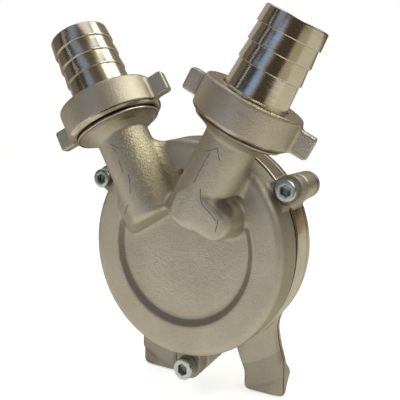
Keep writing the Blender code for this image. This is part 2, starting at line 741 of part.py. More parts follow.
def tail_profile():
    """Hose tail along a port: flange, plain root, then barbs that each rise to a sharp step."""
    top = TAIL_START + TAIL_FLANGE_T
    first = TAIL_END - BARB_COUNT * BARB_PITCH
    profile = [(TAIL_BORE_R, TAIL_START), (TAIL_FLANGE_R, TAIL_START), (TAIL_FLANGE_R, top),
               (TAIL_CREST_R, top), (TAIL_CREST_R, NUT_TOP + TAIL_SHOULDER), (TAIL_ROOT_R, first)]
    for k in range(BARB_COUNT):
        low = first + k * BARB_PITCH
        profile += [(TAIL_CREST_R, low + 0.3 * BARB_LAND), (TAIL_CREST_R, low + 1.3 * BARB_LAND)]
        if k < BARB_COUNT - 1:
            profile.append((TAIL_ROOT_R, low + BARB_PITCH))
    rim = TAIL_ROOT_R + TAIL_END_TAPER
    e = FINE_EDGE
    profile += [(rim, TAIL_END - e), (rim - e, TAIL_END), (TAIL_BORE_R + e, TAIL_END),
                (TAIL_BORE_R, TAIL_END - e)]
    return profile


def wing(angle):
    """Flat ear of a union nut with round corners and broken edges."""
    k = WING_CORNER
    foot = NUT_R - ROOT
    t = math.radians(angle)
    c, s = math.cos(t), math.sin(t)
    sections = []
    for w, inset in ((-WING_HALF_T, WING_EDGE), (WING_EDGE - WING_HALF_T, 0.0),
                     (WING_HALF_T - WING_EDGE, 0.0), (WING_HALF_T, WING_EDGE)):
        low, high, reach = WING_LOW + inset, WING_HIGH - inset, WING_REACH - inset
        outline = [(foot, low)] + bend((reach - k, low), (reach, low), (reach, low + k), 2)
        outline += [(reach, low + k)] + bend((reach, high - k), (reach, high), (reach - k, high), 2)
        outline += [(reach - k, high), (foot, high)]
        sections.append([(r * c - w * s, y, r * s + w * c) for r, y in outline])
    return loft("wing", sections)


def build_nut(key):
    e = NUT_CHAMFER
    profile = [(NUT_BORE_R, NUT_BOTTOM), (NUT_R - e, NUT_BOTTOM), (NUT_R, NUT_BOTTOM + e)]
    profile += bend((NUT_R, NUT_TOP - e), (NUT_R, NUT_TOP), (NUT_R - e, NUT_TOP), 2)
    profile += [(NUT_R - e, NUT_TOP), (NUT_LIP_R, NUT_TOP), (NUT_LIP_R, NUT_LIP_Y), (NUT_BORE_R, NUT_LIP_Y)]
    body = lathe("nut", profile, ROUND)
    return combine(body, [wing(WING_TURN[key]), wing(WING_TURN[key] + 180.0)], "UNION")


def build_gasket():
    y0, y1 = GASKET_START, GASKET_START + GASKET_T
    ring = [(TAIL_BORE_R, y0), (TAIL_FLANGE_R, y0), (TAIL_FLANGE_R, y1), (TAIL_BORE_R, y1)]
    return lathe("gasket", ring, HIDDEN)


def blade(angle):
    t = math.radians(angle)
    c, s = math.cos(t), math.sin(t)
    foot = IMPELLER_HUB_R - BLADE_ROOT_HALF_T
    e = BLADE_EDGE
    half = [(foot, BLADE_ROOT_HALF_T), (IMPELLER_R - e, BLADE_HALF_T), (IMPELLER_R, BLADE_HALF_T - e)]
    outline = [(u, -v) for u, v in half] + list(reversed(half))
    turned = [(u * c - v * s, u * s + v * c) for u, v in outline]
    return prism_y("blade", turned, CHAMBER_FRONT_Y + BLADE_GAP, CASING_FLOOR_Y - BLADE_GAP)


def build_impeller():
    """Star impeller: radial blades on a hub, with bore and keyway."""
    body = lathe("impeller", [(0, IMPELLER_FRONT_Y), (IMPELLER_HUB_R, IMPELLER_FRONT_Y),
                              (IMPELLER_HUB_R, IMPELLER_BACK_Y), (0, IMPELLER_BACK_Y)], ROUND)
    combine(body, [blade(360.0 * k / BLADE_COUNT) for k in range(BLADE_COUNT)], "UNION")
    half = KEY_HALF + FINE_GAP
    top = SHAFT_R - KEY_DEPTH + 2 * KEY_HALF + FINE_GAP
    slot = [(-half, 0.0), (half, 0.0), (half, top), (-half, top)]
    y0, y1 = IMPELLER_FRONT_Y - ROOT, IMPELLER_BACK_Y + ROOT
    cuts = [cylinder_y("bore", SHAFT_BORE_R, y0, y1), prism_y("slot", slot, y0, y1)]
    return combine(body, cuts, "DIFFERENCE")


def key_start():
    return (IMPELLER_FRONT_Y + IMPELLER_BACK_Y - KEY_LENGTH) / 2


def clip_groove(y):
    """Shaft profile points of a clip groove for a clip that starts at y."""
    low = SHAFT_R - CLIP_GROOVE_DEPTH
    return [(SHAFT_R, y - FINE_GAP), (low, y - FINE_GAP), (low, y + CLIP_T + FINE_GAP),
            (SHAFT_R, y + CLIP_T + FINE_GAP)]


def build_shaft():
    profile = [(0, SHAFT_FRONT_Y), (SHAFT_R - FINE_EDGE, SHAFT_FRONT_Y)]
    profile += clip_groove(IMPELLER_CLIP_Y) + clip_groove(SHAFT_CLIP_Y)
    profile += [(SHAFT_R, BACK_REACH - EDGE), (SHAFT_R - EDGE, BACK_REACH), (0, BACK_REACH)]
    body = lathe("shaft", profile, SMALL)
    half = KEY_HALF + FINE_GAP
    low = SHAFT_R - KEY_DEPTH - FINE_GAP
    top = SHAFT_R + ROOT
    y0 = key_start() - FINE_GAP
    slot = [(-half, low), (half, low), (half, top), (-half, top)]
    keyway = prism_y("keyway", slot, y0, y0 + KEY_LENGTH + 2 * FINE_GAP)
    flat = SHAFT_R - SHAFT_FLAT_DEPTH
    side = [(-SHAFT_R, flat), (SHAFT_R, flat), (SHAFT_R, top), (-SHAFT_R, top)]
    face = prism_y("flat", side, BACK_REACH - SHAFT_FLAT_LENGTH, BACK_REACH + ROOT)
    return combine(body, [keyway, face], "DIFFERENCE")


def build_key():
    low = SHAFT_R - KEY_DEPTH
    k = KEY_HALF
    outline = [(-k, low), (k, low), (k, low + 2 * k), (-k, low + 2 * k)]
    return prism_y("key", outline, key_start(), key_start() + KEY_LENGTH)


def build_shaft_clip(y):
    inner = SHAFT_R - CLIP_GROOVE_DEPTH + FINE_GAP
    return open_ring("clip", inner, inner + CLIP_WIDTH, y, y + CLIP_T, 17)


def build_bore_clip():
    outer = BEARING_R + BORE_GROOVE_DEPTH - FINE_GAP
    return open_ring("clip", outer - BORE_CLIP_WIDTH, outer, BORE_CLIP_Y, BORE_CLIP_Y + BORE_CLIP_T, 21)


def seal_stations():
    """Places along y of the seal's pieces, from the pocket's floor forward."""
    cup_floor = SEAL_POCKET_Y - FINE_GAP
    seat_back = cup_floor - SEAL_CUP_FLOOR - FINE_GAP
    seat_front = seat_back - SEAL_SEAT_T
    ring_back = seat_front - FINE_GAP
    return cup_floor, seat_back, seat_front, ring_back, ring_back - SEAL_RING_T


def build_spring():
    room = FINE_GAP + SPRING_WIRE
    y0 = IMPELLER_BACK_Y + room
    y1 = seal_stations()[-1] - room
    count = int(SPRING_TURNS * 14) + 1
    path = []
    for k in range(count):
        f = k / (count - 1)
        t = f * SPRING_TURNS * 2 * math.pi
        path.append((SPRING_R * math.cos(t), y0 + (y1 - y0) * f, SPRING_R * math.sin(t)))
    return tube("spring", path, SPRING_WIRE, 5)


def build_seal(frame, rubber, carbon, ceramic, steel):
    cup_floor, seat_back, seat_front, ring_back, ring_front = seal_stations()
    dress(build_spring(), "seal_spring", steel, frame, 60.0)
    ring = [(SHAFT_BORE_R, ring_front), (SEAL_RING_R, ring_front), (SEAL_RING_R, ring_back - EDGE),
            (SEAL_RING_R - EDGE, ring_back), (SHAFT_BORE_R, ring_back)]
    dress(lathe("ring", ring, HIDDEN), "seal_ring", carbon, frame)
    inner = SHAFT_HOLE_R + SEAL_SEAT_GAP
    seat = [(inner, seat_front), (SEAL_SEAT_R, seat_front), (SEAL_SEAT_R, seat_back), (inner, seat_back)]
    dress(lathe("seat", seat, HIDDEN), "seal_seat", ceramic, frame)
    side = SEAL_SEAT_R + FINE_GAP
    lip = seat_front + SEAL_CUP_LIP
    inner += SEAL_SEAT_GAP
    cup = [(side, lip), (SEAL_CUP_R, lip), (SEAL_CUP_R, cup_floor), (inner, cup_floor),
           (inner, seat_back + FINE_GAP), (side, seat_back + FINE_GAP)]
    dress(lathe("cup", cup, HIDDEN), "seal_seat_cup", rubber, frame)


def race(sign):
    """Groove points of a race: sign 1 for the outer ring, -1 for the inner ring."""
    r = BALL_R + RACE_GAP
    end = math.acos(RACE_LAND / r)
    points = []
    for a in turn(5, -end, end, closed=False):
        points.append((BALL_PITCH_R + sign * r * math.cos(a), r * math.sin(a)))
    return points


def build_cage(place):
    low = BALL_R + CAGE_GAP
    r_in, r_out = BALL_PITCH_R - CAGE_HALF, BALL_PITCH_R + CAGE_HALF
    ring = [(r_in, low), (r_out, low), (r_out, low + CAGE_T), (r_in, low + CAGE_T)]
    cage = lathe("cage", ring, HIDDEN, place)
    middle = place.translation.y
    box = [(BALL_PITCH_R - FINGER_HALF, -FINGER_HALF_T), (BALL_PITCH_R + FINGER_HALF, -FINGER_HALF_T),
           (BALL_PITCH_R + FINGER_HALF, FINGER_HALF_T), (BALL_PITCH_R - FINGER_HALF, FINGER_HALF_T)]
    fingers = []
    for k in range(BALL_COUNT):
        t = 2 * math.pi * (k + 0.5) / BALL_COUNT
        c, s = math.cos(t), math.sin(t)
        outline = [(u * c - v * s, u * s + v * c) for u, v in box]
        fingers.append(prism_y("finger", outline, middle - CAGE_HALF, middle + low + CAGE_T / 2))
    return combine(cage, fingers, "UNION")


def build_ball(k, middle):
    t = 2 * math.pi * k / BALL_COUNT
    centre = (BALL_PITCH_R * math.cos(t), middle, BALL_PITCH_R * math.sin(t))
    profile = [(0, -BALL_R)]
    for a in turn(6, 0, math.pi, closed=False)[1:-1]:
        profile.append((BALL_R * math.sin(a), -BALL_R * math.cos(a)))
    return lathe("ball", profile + [(0, BALL_R)], 10, Matrix.Translation(centre))


def build_bearing(frame, steel, brass):
    w = BEARING_W / 2
    middle = BEARING_BACK_Y - w
    place = Matrix.Translation((0, middle, 0))
    e = BEARING_EDGE
    land = BALL_PITCH_R + RACE_LAND
    outer = [(BEARING_R, -w + e), (BEARING_R, w - e), (BEARING_R - e, w), (land, w)]
    outer += list(reversed(race(1))) + [(land, -w), (BEARING_R - e, -w)]
    dress(lathe("ring", outer, HIDDEN, place), "bearing_outer_ring", steel, frame)
    land = BALL_PITCH_R - RACE_LAND
    inner = [(SHAFT_BORE_R, w - e), (SHAFT_BORE_R, -w + e), (SHAFT_BORE_R + e, -w), (land, -w)]
    inner += race(-1) + [(land, w), (SHAFT_BORE_R + e, w)]
    dress(lathe("ring", inner, HIDDEN, place), "bearing_inner_ring", steel, frame)
    dress(build_cage(place), "bearing_cage", brass, frame)
    for k in range(BALL_COUNT):
        dress(build_ball(k, middle), "bearing_ball_%d" % (k + 1), steel, frame, 80.0)


def build_union(key, sign, frame, bright, rubber):
    matrix = port_matrix(sign)
    matrix[1][3] = PORT_Y * MM
    port = empty(key + "_port_frame", matrix, frame)
    dress(build_gasket(), key + "_tail_gasket", rubber, port)
    dress(lathe("tail", tail_profile(), ROUND), key + "_hose_tail", bright, port)
    dress(build_nut(key), key + "_wing_nut", bright, port)


def main():
    remove_everything()
    cast = material("cast_nickel", (0.46, 0.43, 0.36), 0.42, 1.0)
    turned = material("turned_nickel", (0.50, 0.47, 0.41), 0.30, 1.0)
    bright = material("bright_nickel", (0.62, 0.59, 0.53), 0.18, 1.0)
    zinc = material("zinc_steel", (0.60, 0.64, 0.66), 0.28, 1.0)
    steel = material("steel", (0.56, 0.57, 0.58), 0.25, 1.0)
    brass = material("brass", (0.72, 0.53, 0.24), 0.35, 1.0)
    rubber = material("rubber", (0.02, 0.02, 0.02), 0.8, 0.0)
    carbon = material("carbon", (0.05, 0.05, 0.055), 0.5, 0.0)
    ceramic = material("ceramic", (0.85, 0.83, 0.78), 0.3, 0.0)

    # The nuts reach furthest forward and the shaft furthest back, and the origin is midway
    middle = (PORT_Y - NUT_R + BACK_REACH) / 2
    pump = empty("pump_frame", Matrix.Translation((0, -middle * MM, AXIS_HEIGHT * MM)))
    dress(build_cover(), "front_cover", cast, pump)
    dress(build_casing(), "rear_casing", turned, pump)
    for key in SCREW_ANGLES:
        dress(build_screw(key), "screw_" + key, zinc, pump)
    dress(build_o_ring(), "cover_o_ring", rubber, pump, 80.0)
    dress(build_shaft(), "drive_shaft", steel, pump)
    dress(build_impeller(), "impeller", brass, pump)
    dress(build_key(), "impeller_key", steel, pump)
    dress(build_shaft_clip(IMPELLER_CLIP_Y), "impeller_circlip", steel, pump)
    dress(build_shaft_clip(SHAFT_CLIP_Y), "shaft_circlip", steel, pump)
    dress(build_bore_clip(), "bore_circlip", steel, pump)
    build_seal(pump, rubber, carbon, ceramic, steel)
    build_bearing(pump, steel, brass)
    build_union("left", -1, pump, bright, rubber)
    build_union("right", 1, pump, bright, rubber)
    bpy.context.view_layer.update()


main()
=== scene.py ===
import json
import math

import bmesh
import bpy
import numpy as np
from mathutils import Matrix, Vector


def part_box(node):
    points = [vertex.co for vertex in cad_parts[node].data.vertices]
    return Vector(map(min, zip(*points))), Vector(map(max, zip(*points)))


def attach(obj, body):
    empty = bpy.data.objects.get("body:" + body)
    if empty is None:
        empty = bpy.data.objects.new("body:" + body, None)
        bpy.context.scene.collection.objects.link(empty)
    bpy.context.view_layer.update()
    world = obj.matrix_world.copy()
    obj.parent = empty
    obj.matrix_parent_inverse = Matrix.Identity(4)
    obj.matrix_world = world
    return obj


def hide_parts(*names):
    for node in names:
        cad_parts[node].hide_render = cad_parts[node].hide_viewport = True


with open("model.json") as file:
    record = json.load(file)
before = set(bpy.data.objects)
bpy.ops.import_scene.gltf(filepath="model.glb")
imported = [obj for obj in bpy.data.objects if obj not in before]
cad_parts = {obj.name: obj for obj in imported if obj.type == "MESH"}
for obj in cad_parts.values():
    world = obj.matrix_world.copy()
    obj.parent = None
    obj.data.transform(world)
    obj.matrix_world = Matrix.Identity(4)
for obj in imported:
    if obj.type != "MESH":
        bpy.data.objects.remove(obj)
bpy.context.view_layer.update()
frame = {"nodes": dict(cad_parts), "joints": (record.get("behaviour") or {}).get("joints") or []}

# Sizes are in millimetres: y runs back from the cover's face, distances along a port from the pump axis.
# Cutters reach past the faces that they open by the overrun. Lugs, legs and wings start inside their
# bodies by the root depth, and forms on the cover reach behind its face by the sink.
MM = 0.001
WELD = 0.0001
OVERRUN = 3.0
ROOT_DEPTH = 3.0
SINK = 1.0
SHAFT_END_Y = 72.0

RIM_R = 45.3
RIM_DRAFT = 0.9
RIM_ROUND = 3.0
RECESS_R = 32.1
RECESS_SLOPE = 2.5
RECESS_DEPTH = 1.9
CHAMBER_R = 38.0
CHAMBER_CORNER = 2.0
CHAMBER_Y = 5.6
SEAM_Y = 14.7
SEAM_WIDTH = 1.2
SEAM_DEPTH = 1.3
SEAM_REACH = 0.6

SCREW_CIRCLE_R = 50.9
SCREW_START = 30.0
SCREW_COUNT = 3
SCREW_R = 2.5
HEAD_R = 4.25
HEAD_Y = 2.45
HEAD_H = 5.0
SCREW_TIP_Y = 27.45
SCREW_HOLE_END_Y = 28.8
SCREW_PLAY = 0.3
SOCKET_HALF = 2.0
SOCKET_DEPTH = 2.6
KNURL_DEPTH = 0.22
LUG_R = 5.75
LUG_Y = 7.6
LUG_ROOT = 3.9
LUG_STOCK = 0.6
SPOT_R = 6.2
SPOT_H = 9.0
BOSS_END_Y = 31.9
BOSS_RING_Y = 27.5
BOSS_RING_DEPTH = 0.9

PORT_Y = -5.34
NECK_R = 11.0
NECK_FILLET = 2.8
NECK_FILLET_POWER = 2.5
NECK_BACK = 0.93
PORT_BORE_R = 8.0
NECK_END = 14.5
NECK_END_ROUND = 2.6
NECK_CLEAR = (41.5, 45.5)
BORE_END = 19.0
BORE_CHAMFER = 1.5
WINDOW_AT = 25.9
WINDOW_ANGLE = 30.0
WINDOW_R = 6.5
WINDOW_TOP = 0.8
SKIRT_LOW = 27.0
SKIRT_TOP = 44.0
SKIRT_ANGLE = 45.0
FLARE_START = 51.2
FLARE_TURN = 52.6
COLLAR_TOP = 56.5
COLLAR_R = 18.0
COLLAR_EDGE = 0.2
COLLAR_UNDER = 0.8
COLLAR_SIDE = (0.55, 0.15)
COLLAR_LINES = (16.3, 16.95, 17.45)
COLLAR_LINE_DEPTH = 0.22
COLLAR_LINE_HALF = 0.16
COLLAR_TURNED_R = 14.2
COLLAR_PROUD = 0.05
COLLAR_SKIN = 0.07
SPIGOT_R = 16.4
SPIGOT_TOP = 64.0
SPIGOT_CHAMFER = 0.9
THREAD_PITCH = 2.309
THREAD_DEPTH = 0.75
THREAD_SKIN = 0.9
THREAD_FLANK = 1.6
THREAD_LAND = 0.3
THREAD_ROWS = 14

LOBE = (21.5, 13.8)
LOBE_R = 7.6
LOBE_TOP = 14.2
LOBE_FLAT = 0.72
LOBE_SHOULDER_R = 7.0
LOBE_SHOULDER = 10.4
LOBE_ROOTS = ((12.5, 21.7), (11.0, 19.1))
LOBE_ROOT_TOP = 16.1
STEP_ALONG = 31.3
STEP_ACROSS = 7.2
STEP_FOOT = 9.6
STEP_FLANK = 2.4
STEP_TILT = 0.126
STEP_TILT_FROM = 6.0
STEP_RUN = 0.4
# Middle of the painted shade in the pocket under the step, in the right port's frame
POCKET = (12.5, 30.5, 5.5)

# Flow arrows on the necks, as lines of (across, along) a port
FLOW_LINE_R = 0.15
FLOW_SPACING = 0.45
FLOW_FRONT = 40.0
FLOW_LINES = {
    "left": [[(0.3, 48.4), (1.6, 46.7), (3.1, 44.7)], [(0.6, 46.4), (1.0, 44.9), (1.7, 43.7)],
             [(1.0, 40.6), (0.9, 38.0), (0.7, 35.2)], [(2.3, 33.4), (1.9, 31.4), (1.1, 29.1), (-0.2, 26.6)],
             [(-3.6, 23.2), (-7.2, 22.2), (-11.0, 21.9)]],
    "right": [[(-3.1, 45.0), (-1.2, 46.5), (0.5, 48.5)], [(0.5, 48.5), (1.7, 47.2), (3.2, 45.3)],
              [(-1.2, 45.4), (-1.3, 42.6), (-1.3, 38.4), (-1.2, 32.6)],
              [(2.2, 32.0), (3.4, 29.8), (4.9, 28.0), (6.9, 27.0), (9.2, 26.4), (11.2, 25.8), (13.0, 24.9)],
              [(13.2, 26.2), (14.0, 24.4), (14.7, 21.4)]],
}

TAIL_START = 65.9
TAIL_FLANGE_R = 15.9
TAIL_FLANGE_T = 2.9
TAIL_CREST_R = 13.1
TAIL_ROOT_R = 12.4
TAIL_BORE_R = 10.3
TAIL_END = 102.5
BARB_PITCH = 7.15
BARB_COUNT = 3
BARB_RISE = 0.12
BARB_LAND = 0.52
TAIL_RIM = 0.25
TAIL_CHAMFER = 0.4
NUT_BOTTOM = 57.1
NUT_TOP = 70.7
NUT_R = 20.5
NUT_BORE_R = 16.7
NUT_LIP_R = 13.8
NUT_LIP = 69.1
NUT_CHAMFER = 1.3
NUT_LIP_WIDTH = 1.6
WING_REACH = 27.8
WING_LOW = 58.9
WING_HIGH = 68.3
WING_HALF_T = 2.2
WING_CORNER = 1.3
WING_TURN = {"left": -11.0, "right": -7.5}

CASING_R = 45.5
CASING_Y = 15.0
CASING_BACK_Y = 31.3
CASING_LINE_Y = 26.6
CASING_EDGE = 0.8
CASING_FLOOR_Y = 21.5
CASING_WALL_Y = 27.0
CASING_RIM_IN_R = 40.0
CASING_RIM_SLOPE = 1.5
FLANGE_DEPTH = 2.0
FLANGE_CUT = 0.75
HUB_R = 19.5
HUB_FOOT = 3.0
HUB_FOOT_HOLLOW = 0.3
HUB_END_Y = 47.0
SEAL_POCKET_R = 12.5
SEAL_POCKET_Y = 33.0
SHAFT_HOLE_R = 6.8
BEARING_R = 14.0
BEARING_Y = 35.95
BEARING_BACK_Y = 43.95
BEARING_SEAT_Y = 35.8
BEARING_PLAY = 0.15
BALL_R = 2.38
BALL_COUNT = 8
BALL_PITCH_R = 10.075
BALL_PLAY = 0.14
RACE_LAND = 1.75
RACE_CHAMFER = 0.4
O_GROOVE = (40.0, 42.8)
O_GROOVE_DEPTH = 2.2

# Clips by inner radius, outer radius and thickness, and the shaft's grooves for them by the reach before and
# behind a clip's front and by depth
CLIP_Y = 44.1
IMPELLER_CLIP_Y = 7.15
CLIP_GAP = 50.0
CLIP_ROUND = 0.12
HUB_CLIP = (12.2, 15.0, 1.1)
SHAFT_CLIP = (5.45, 7.6, 0.9)
CLIP_GROOVE = (0.15, 1.05, 0.7)
HUB_GROOVE_DEPTH = 1.15
HUB_GROOVE_END_Y = 45.35

# Legs: the knee by x and its share of the way down, and the waist by points below, in and above it
LEG_Y = 24.6
LEG_BACK_Y = 31.0
LEG_CREASE_R = 56.5
LEG_SLOPE = 6.0
LEG_ROOT_X = 12.0
LEG_KNEE = (15.0, 0.64)
LEG_WAIST = ((33.3, -43.8), (32.6, -38.5), (31.9, -33.2))
LEG_SHOULDER_ANGLE = 38.5
LEG_SHOULDER_INSET = 0.3
ANKLE_H = 8.8
CALF_H = 14.8
FOOT_IN_X = 18.0
FOOT_OUT_X = 35.4
HEEL_Y = 36.5
HEEL_H = 8.3
HEEL_BOTTOM_Y = 29.8
HEEL_BEVEL = 9.7
HEEL_ROOT_H = 5.6
HEEL_EDGE = 0.6
HEEL_INSET = 0.9
FOOT_ROUND = 2

SHAFT_R = 6.0
SHAFT_FRONT_Y = 6.4
SHAFT_FLAT = 4.8
SHAFT_FLAT_Y = 52.0

# How far a casting's corners are filled and its edges rounded, and the voxel of that rounding
COVER_ROUNDING = (0.8, 0.3, 0.45)
CASING_ROUNDING = (1.3, 0.45, 0.55)
NUT_ROUNDING = (1.3, 0.35, 0.36)
SPARE_VOXELS = 4.0
MOST_TRIANGLES = 190000

# Places taken from the frame
joints = {j["name"]: j for j in frame["joints"]}
AXIS = Vector(joints["shaft_spin"]["pos_m"])
FACE_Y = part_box("drive_shaft")[1].y - SHAFT_END_Y * MM
AXIS_HEIGHT = AXIS.z / MM
PUMP = Matrix.Translation((AXIS.x, FACE_Y, AXIS.z)) @ Matrix.Scale(MM, 4)


def port_place(side):
    """Port frame: x across, y out along the port, z to the front, in millimetres."""
    joint = joints[side + "_nut_turn"]
    out = Vector(joint["axis"]).normalized()
    front = Vector((0.0, -1.0, 0.0))
    across = out.cross(front)
    m = Matrix((across, out, front)).transposed().to_4x4()
    return Matrix.Translation(joint["pos_m"]) @ m @ Matrix.Scale(MM, 4)


PORTS = {"left": port_place("left"), "right": port_place("right")}
SIGNS = {"left": -1, "right": 1}

# Centre lines as a point and an axis
PUMP_LINE = ((AXIS.x, FACE_Y, AXIS.z), (0.0, 1.0, 0.0))
PORT_LINES = {side: (PORTS[side].translation, joints[side + "_nut_turn"]["axis"]) for side in PORTS}


class Value:
    """A node socket that takes part in sums: each sum adds a Math node."""

    def __init__(self, tree, socket):
        self.tree = tree
        self.socket = socket

    @staticmethod
    def node(tree, kind, settings, inputs, output=0):
        """Add a node: its settings first, then the values or links of its sockets."""
        made = tree.nodes.new(kind)
        for name, value in settings.items():
            setattr(made, name, value)
        for key, value in inputs.items():
            if isinstance(value, Value):
                tree.links.new(value.socket, made.inputs[key])
            else:
                made.inputs[key].default_value = value
        return Value(tree, made.outputs[output])

    def math(self, operation, other=0.0, flip=False):
        pair = {0: other, 1: self} if flip else {0: self, 1: other}
        return Value.node(self.tree, "ShaderNodeMath", {"operation": operation}, pair)

    def __add__(self, other):
        return self.math("ADD", other)

    def __sub__(self, other):
        return self.math("SUBTRACT", other)

    def __rsub__(self, other):
        return self.math("SUBTRACT", other, flip=True)

    def __mul__(self, other):
        return self.math("MULTIPLY", other)

    def __truediv__(self, other):
        return self.math("DIVIDE", other)

    def __rtruediv__(self, other):
        return self.math("DIVIDE", other, flip=True)

    __radd__ = __add__
    __rmul__ = __mul__

    def step(self, low, high):
        """0 below low, 1 above high, smooth between them."""
        return Value.node(self.tree, "ShaderNodeMapRange", {"interpolation_type": "SMOOTHSTEP"},
                          {"Value": self, "From Min": low, "From Max": high})

    def band(self, middle, half, soft):
        """1 within half of the middle, fading out over soft."""
        return 1.0 - (self - middle).math("ABSOLUTE").step(half, half + soft)


# Shapes as lists of vertices and faces


def arc(centre, radius, start, end, count):
    """Points of a round from start to end, in degrees."""
    angles = np.radians(np.linspace(start, end, count))
    return [(centre[0] + radius * math.cos(a), centre[1] + radius * math.sin(a)) for a in angles]


def bend(start, middle, end, count):
    """Points along a quadratic curve, without its last one."""
    points = []
    for f in np.arange(count) / count:
        a, b, c = (1 - f) ** 2, 2 * f * (1 - f), f * f
        points.append(tuple(a * s + b * m + c * e for s, m, e in zip(start, middle, end)))
    return points


def eased(points, radius, steps=4):
    """A closed polyline with its corners rounded."""
    count = len(points)
    result = []
    for k, point in enumerate(points):
        p = np.array(point, float)
        before = np.array(points[k - 1], float) - p
        after = np.array(points[(k + 1) % count], float) - p
        a, b = np.linalg.norm(before), np.linalg.norm(after)
        reach = min(radius, 0.45 * a, 0.45 * b)
        start, end = p + before / a * reach, p + after / b * reach
        for f in np.linspace(0, 1, steps + 1):
            result.append(tuple((1 - f) ** 2 * start + 2 * f * (1 - f) * p + f * f * end))
    return result


def lathe(profile, segments):
    """Turn a (radius, y) profile about the y axis: a loop, or a line between two poles."""
    verts, faces, rings = [], [], []
    turns = np.linspace(0, 2 * math.pi, segments, endpoint=False)
    for r, y in profile:
        if r == 0:
            rings.append([len(verts)])
            verts.append((0.0, y, 0.0))
        else:
            rings.append(list(range(len(verts), len(verts) + segments)))
            verts += [(r * math.cos(t), y, r * math.sin(t)) for t in turns]
    pairs = list(zip(rings, rings[1:]))
    if profile[0][0] > 0:
        pairs.append((rings[-1], rings[0]))
    for a, b in pairs:
        for k in range(segments):
            m = (k + 1) % segments
            if len(a) > 1 and len(b) > 1:
                faces.append((a[k], b[k], b[m], a[m]))
            elif len(a) > 1:
                faces.append((a[k], b[0], a[m]))
            elif len(b) > 1:
                faces.append((a[0], b[k], b[m]))
    return verts, faces


def loft(sections):
    """Join rings of points of one count, with flat end caps."""
    verts, faces = [], []
    count = len(sections[0])
    for ring in sections:
        verts += [tuple(p) for p in ring]
    for n in range(len(sections) - 1):
        a, b = n * count, (n + 1) * count
        for k in range(count):
            m = (k + 1) % count
            faces.append((a + k, a + m, b + m, b + k))
    faces.append(tuple(reversed(range(count))))
    faces.append(tuple(range(len(verts) - count, len(verts))))
    return verts, faces


def prism_y(outline, y0, y1):
    return loft([[(x, y, z) for x, z in outline] for y in (y0, y1)])


def prism_x(outline, x0, x1):
    return loft([[(x, y, z) for y, z in outline] for x in (x0, x1)])


def cylinder_y(r, y0, y1, x, z, segments=64):
    return prism_y([(x + u, z + v) for u, v in arc((0, 0), r, 0, 360, segments + 1)[:-1]], y0, y1)


def moved(form, matrix):
    return [matrix @ Vector(v) for v in form[0]], form[1]


def linked(name, data):
    obj = bpy.data.objects.new(name, data)
    bpy.context.collection.objects.link(obj)
    return obj


def shape(name, forms, matrix):
    """One mesh object of several closed forms, set in place, with its faces outward."""
    verts, faces = [], []
    for part_verts, part_faces in forms:
        base = len(verts)
        verts += [matrix @ Vector(v) for v in part_verts]
        faces += [tuple(base + k for k in f) for f in part_faces]
    mesh = bpy.data.meshes.new(name)
    mesh.from_pydata([tuple(v) for v in verts], [], faces)
    face_outward(mesh)
    return linked(name, mesh)


def face_outward(mesh, weld=0.0):
    """Turn a mesh's faces outward, after joining points that are nearer than weld."""
    bm = bmesh.new()
    bm.from_mesh(mesh)
    if weld:
        bmesh.ops.remove_doubles(bm, verts=bm.verts, dist=weld)
        bmesh.ops.dissolve_degenerate(bm, edges=bm.edges, dist=weld)
    bmesh.ops.recalc_face_normals(bm, faces=bm.faces)
    bm.to_mesh(mesh)
    bm.free()


def evaluated(obj):
    """Turn an object's modifiers into its mesh."""
    bpy.context.view_layer.update()
    graph = bpy.context.evaluated_depsgraph_get()
    mesh = bpy.data.meshes.new_from_object(obj.evaluated_get(graph))
    obj.modifiers.clear()
    old = obj.data
    obj.data = mesh
    mesh.name = obj.name
    if old.users == 0:
        bpy.data.meshes.remove(old)
    return obj


def thrown_away(*objs):
    for obj in objs:
        bpy.data.objects.remove(obj, do_unlink=True)


def shown(obj, body, material, nodes=(), sharp=30.0):
    """Give a finished piece its finish and its place in the frame."""
    mesh = obj.data
    mesh.materials.clear()
    mesh.materials.append(material)
    mesh.shade_smooth()
    if sharp:
        mesh.set_sharp_from_angle(angle=math.radians(sharp))
    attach(obj, body)
    if nodes:
        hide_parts(*nodes)


# Geometry Nodes trees


def new_tree(name, **inputs):
    """A Geometry Nodes tree with named inputs, each given with its kind of socket."""
    tree = bpy.data.node_groups.new(name, "GeometryNodeTree")
    tree.interface.new_socket("Geometry", in_out="OUTPUT", socket_type="NodeSocketGeometry")
    tree.interface.new_socket("Geometry", in_out="INPUT", socket_type="NodeSocketGeometry")
    for label, kind in inputs.items():
        tree.interface.new_socket(label, in_out="INPUT", socket_type="NodeSocket" + kind)
    start = tree.nodes.new("NodeGroupInput")
    return tree, {s.name: Value(tree, s) for s in start.outputs if s.name}


def close_tree(tree, geometry, material):
    """End a tree: real geometry with its material."""
    node = Value.node
    whole = node(tree, "GeometryNodeRealizeInstances", {}, {"Geometry": geometry})
    whole = node(tree, "GeometryNodeSetMaterial", {}, {"Geometry": whole, "Material": material})
    end = tree.nodes.new("NodeGroupOutput")
    tree.links.new(whole.socket, end.inputs[0])


def run_tree(obj, tree, values):
    """Put a tree on an object, set its inputs, and keep the result as the object's mesh."""
    mod = obj.modifiers.new("tree", "NODES")
    mod.node_group = tree
    for item in tree.interface.items_tree:
        if item.in_out == "INPUT" and item.name in values:
            mod[item.identifier] = values[item.name]
    evaluated(obj)


def object_form(tree, obj):
    """The geometry of another object, in its own place."""
    settings = {"transform_space": "ORIGINAL"}
    return Value.node(tree, "GeometryNodeObjectInfo", settings, {"Object": obj}, "Geometry")


def rounding(sizes):
    """The lengths that a casting's rounding needs, in metres."""
    return {label: size * MM for label, size in zip(("Fillet", "Edge", "Voxel"), sizes)}


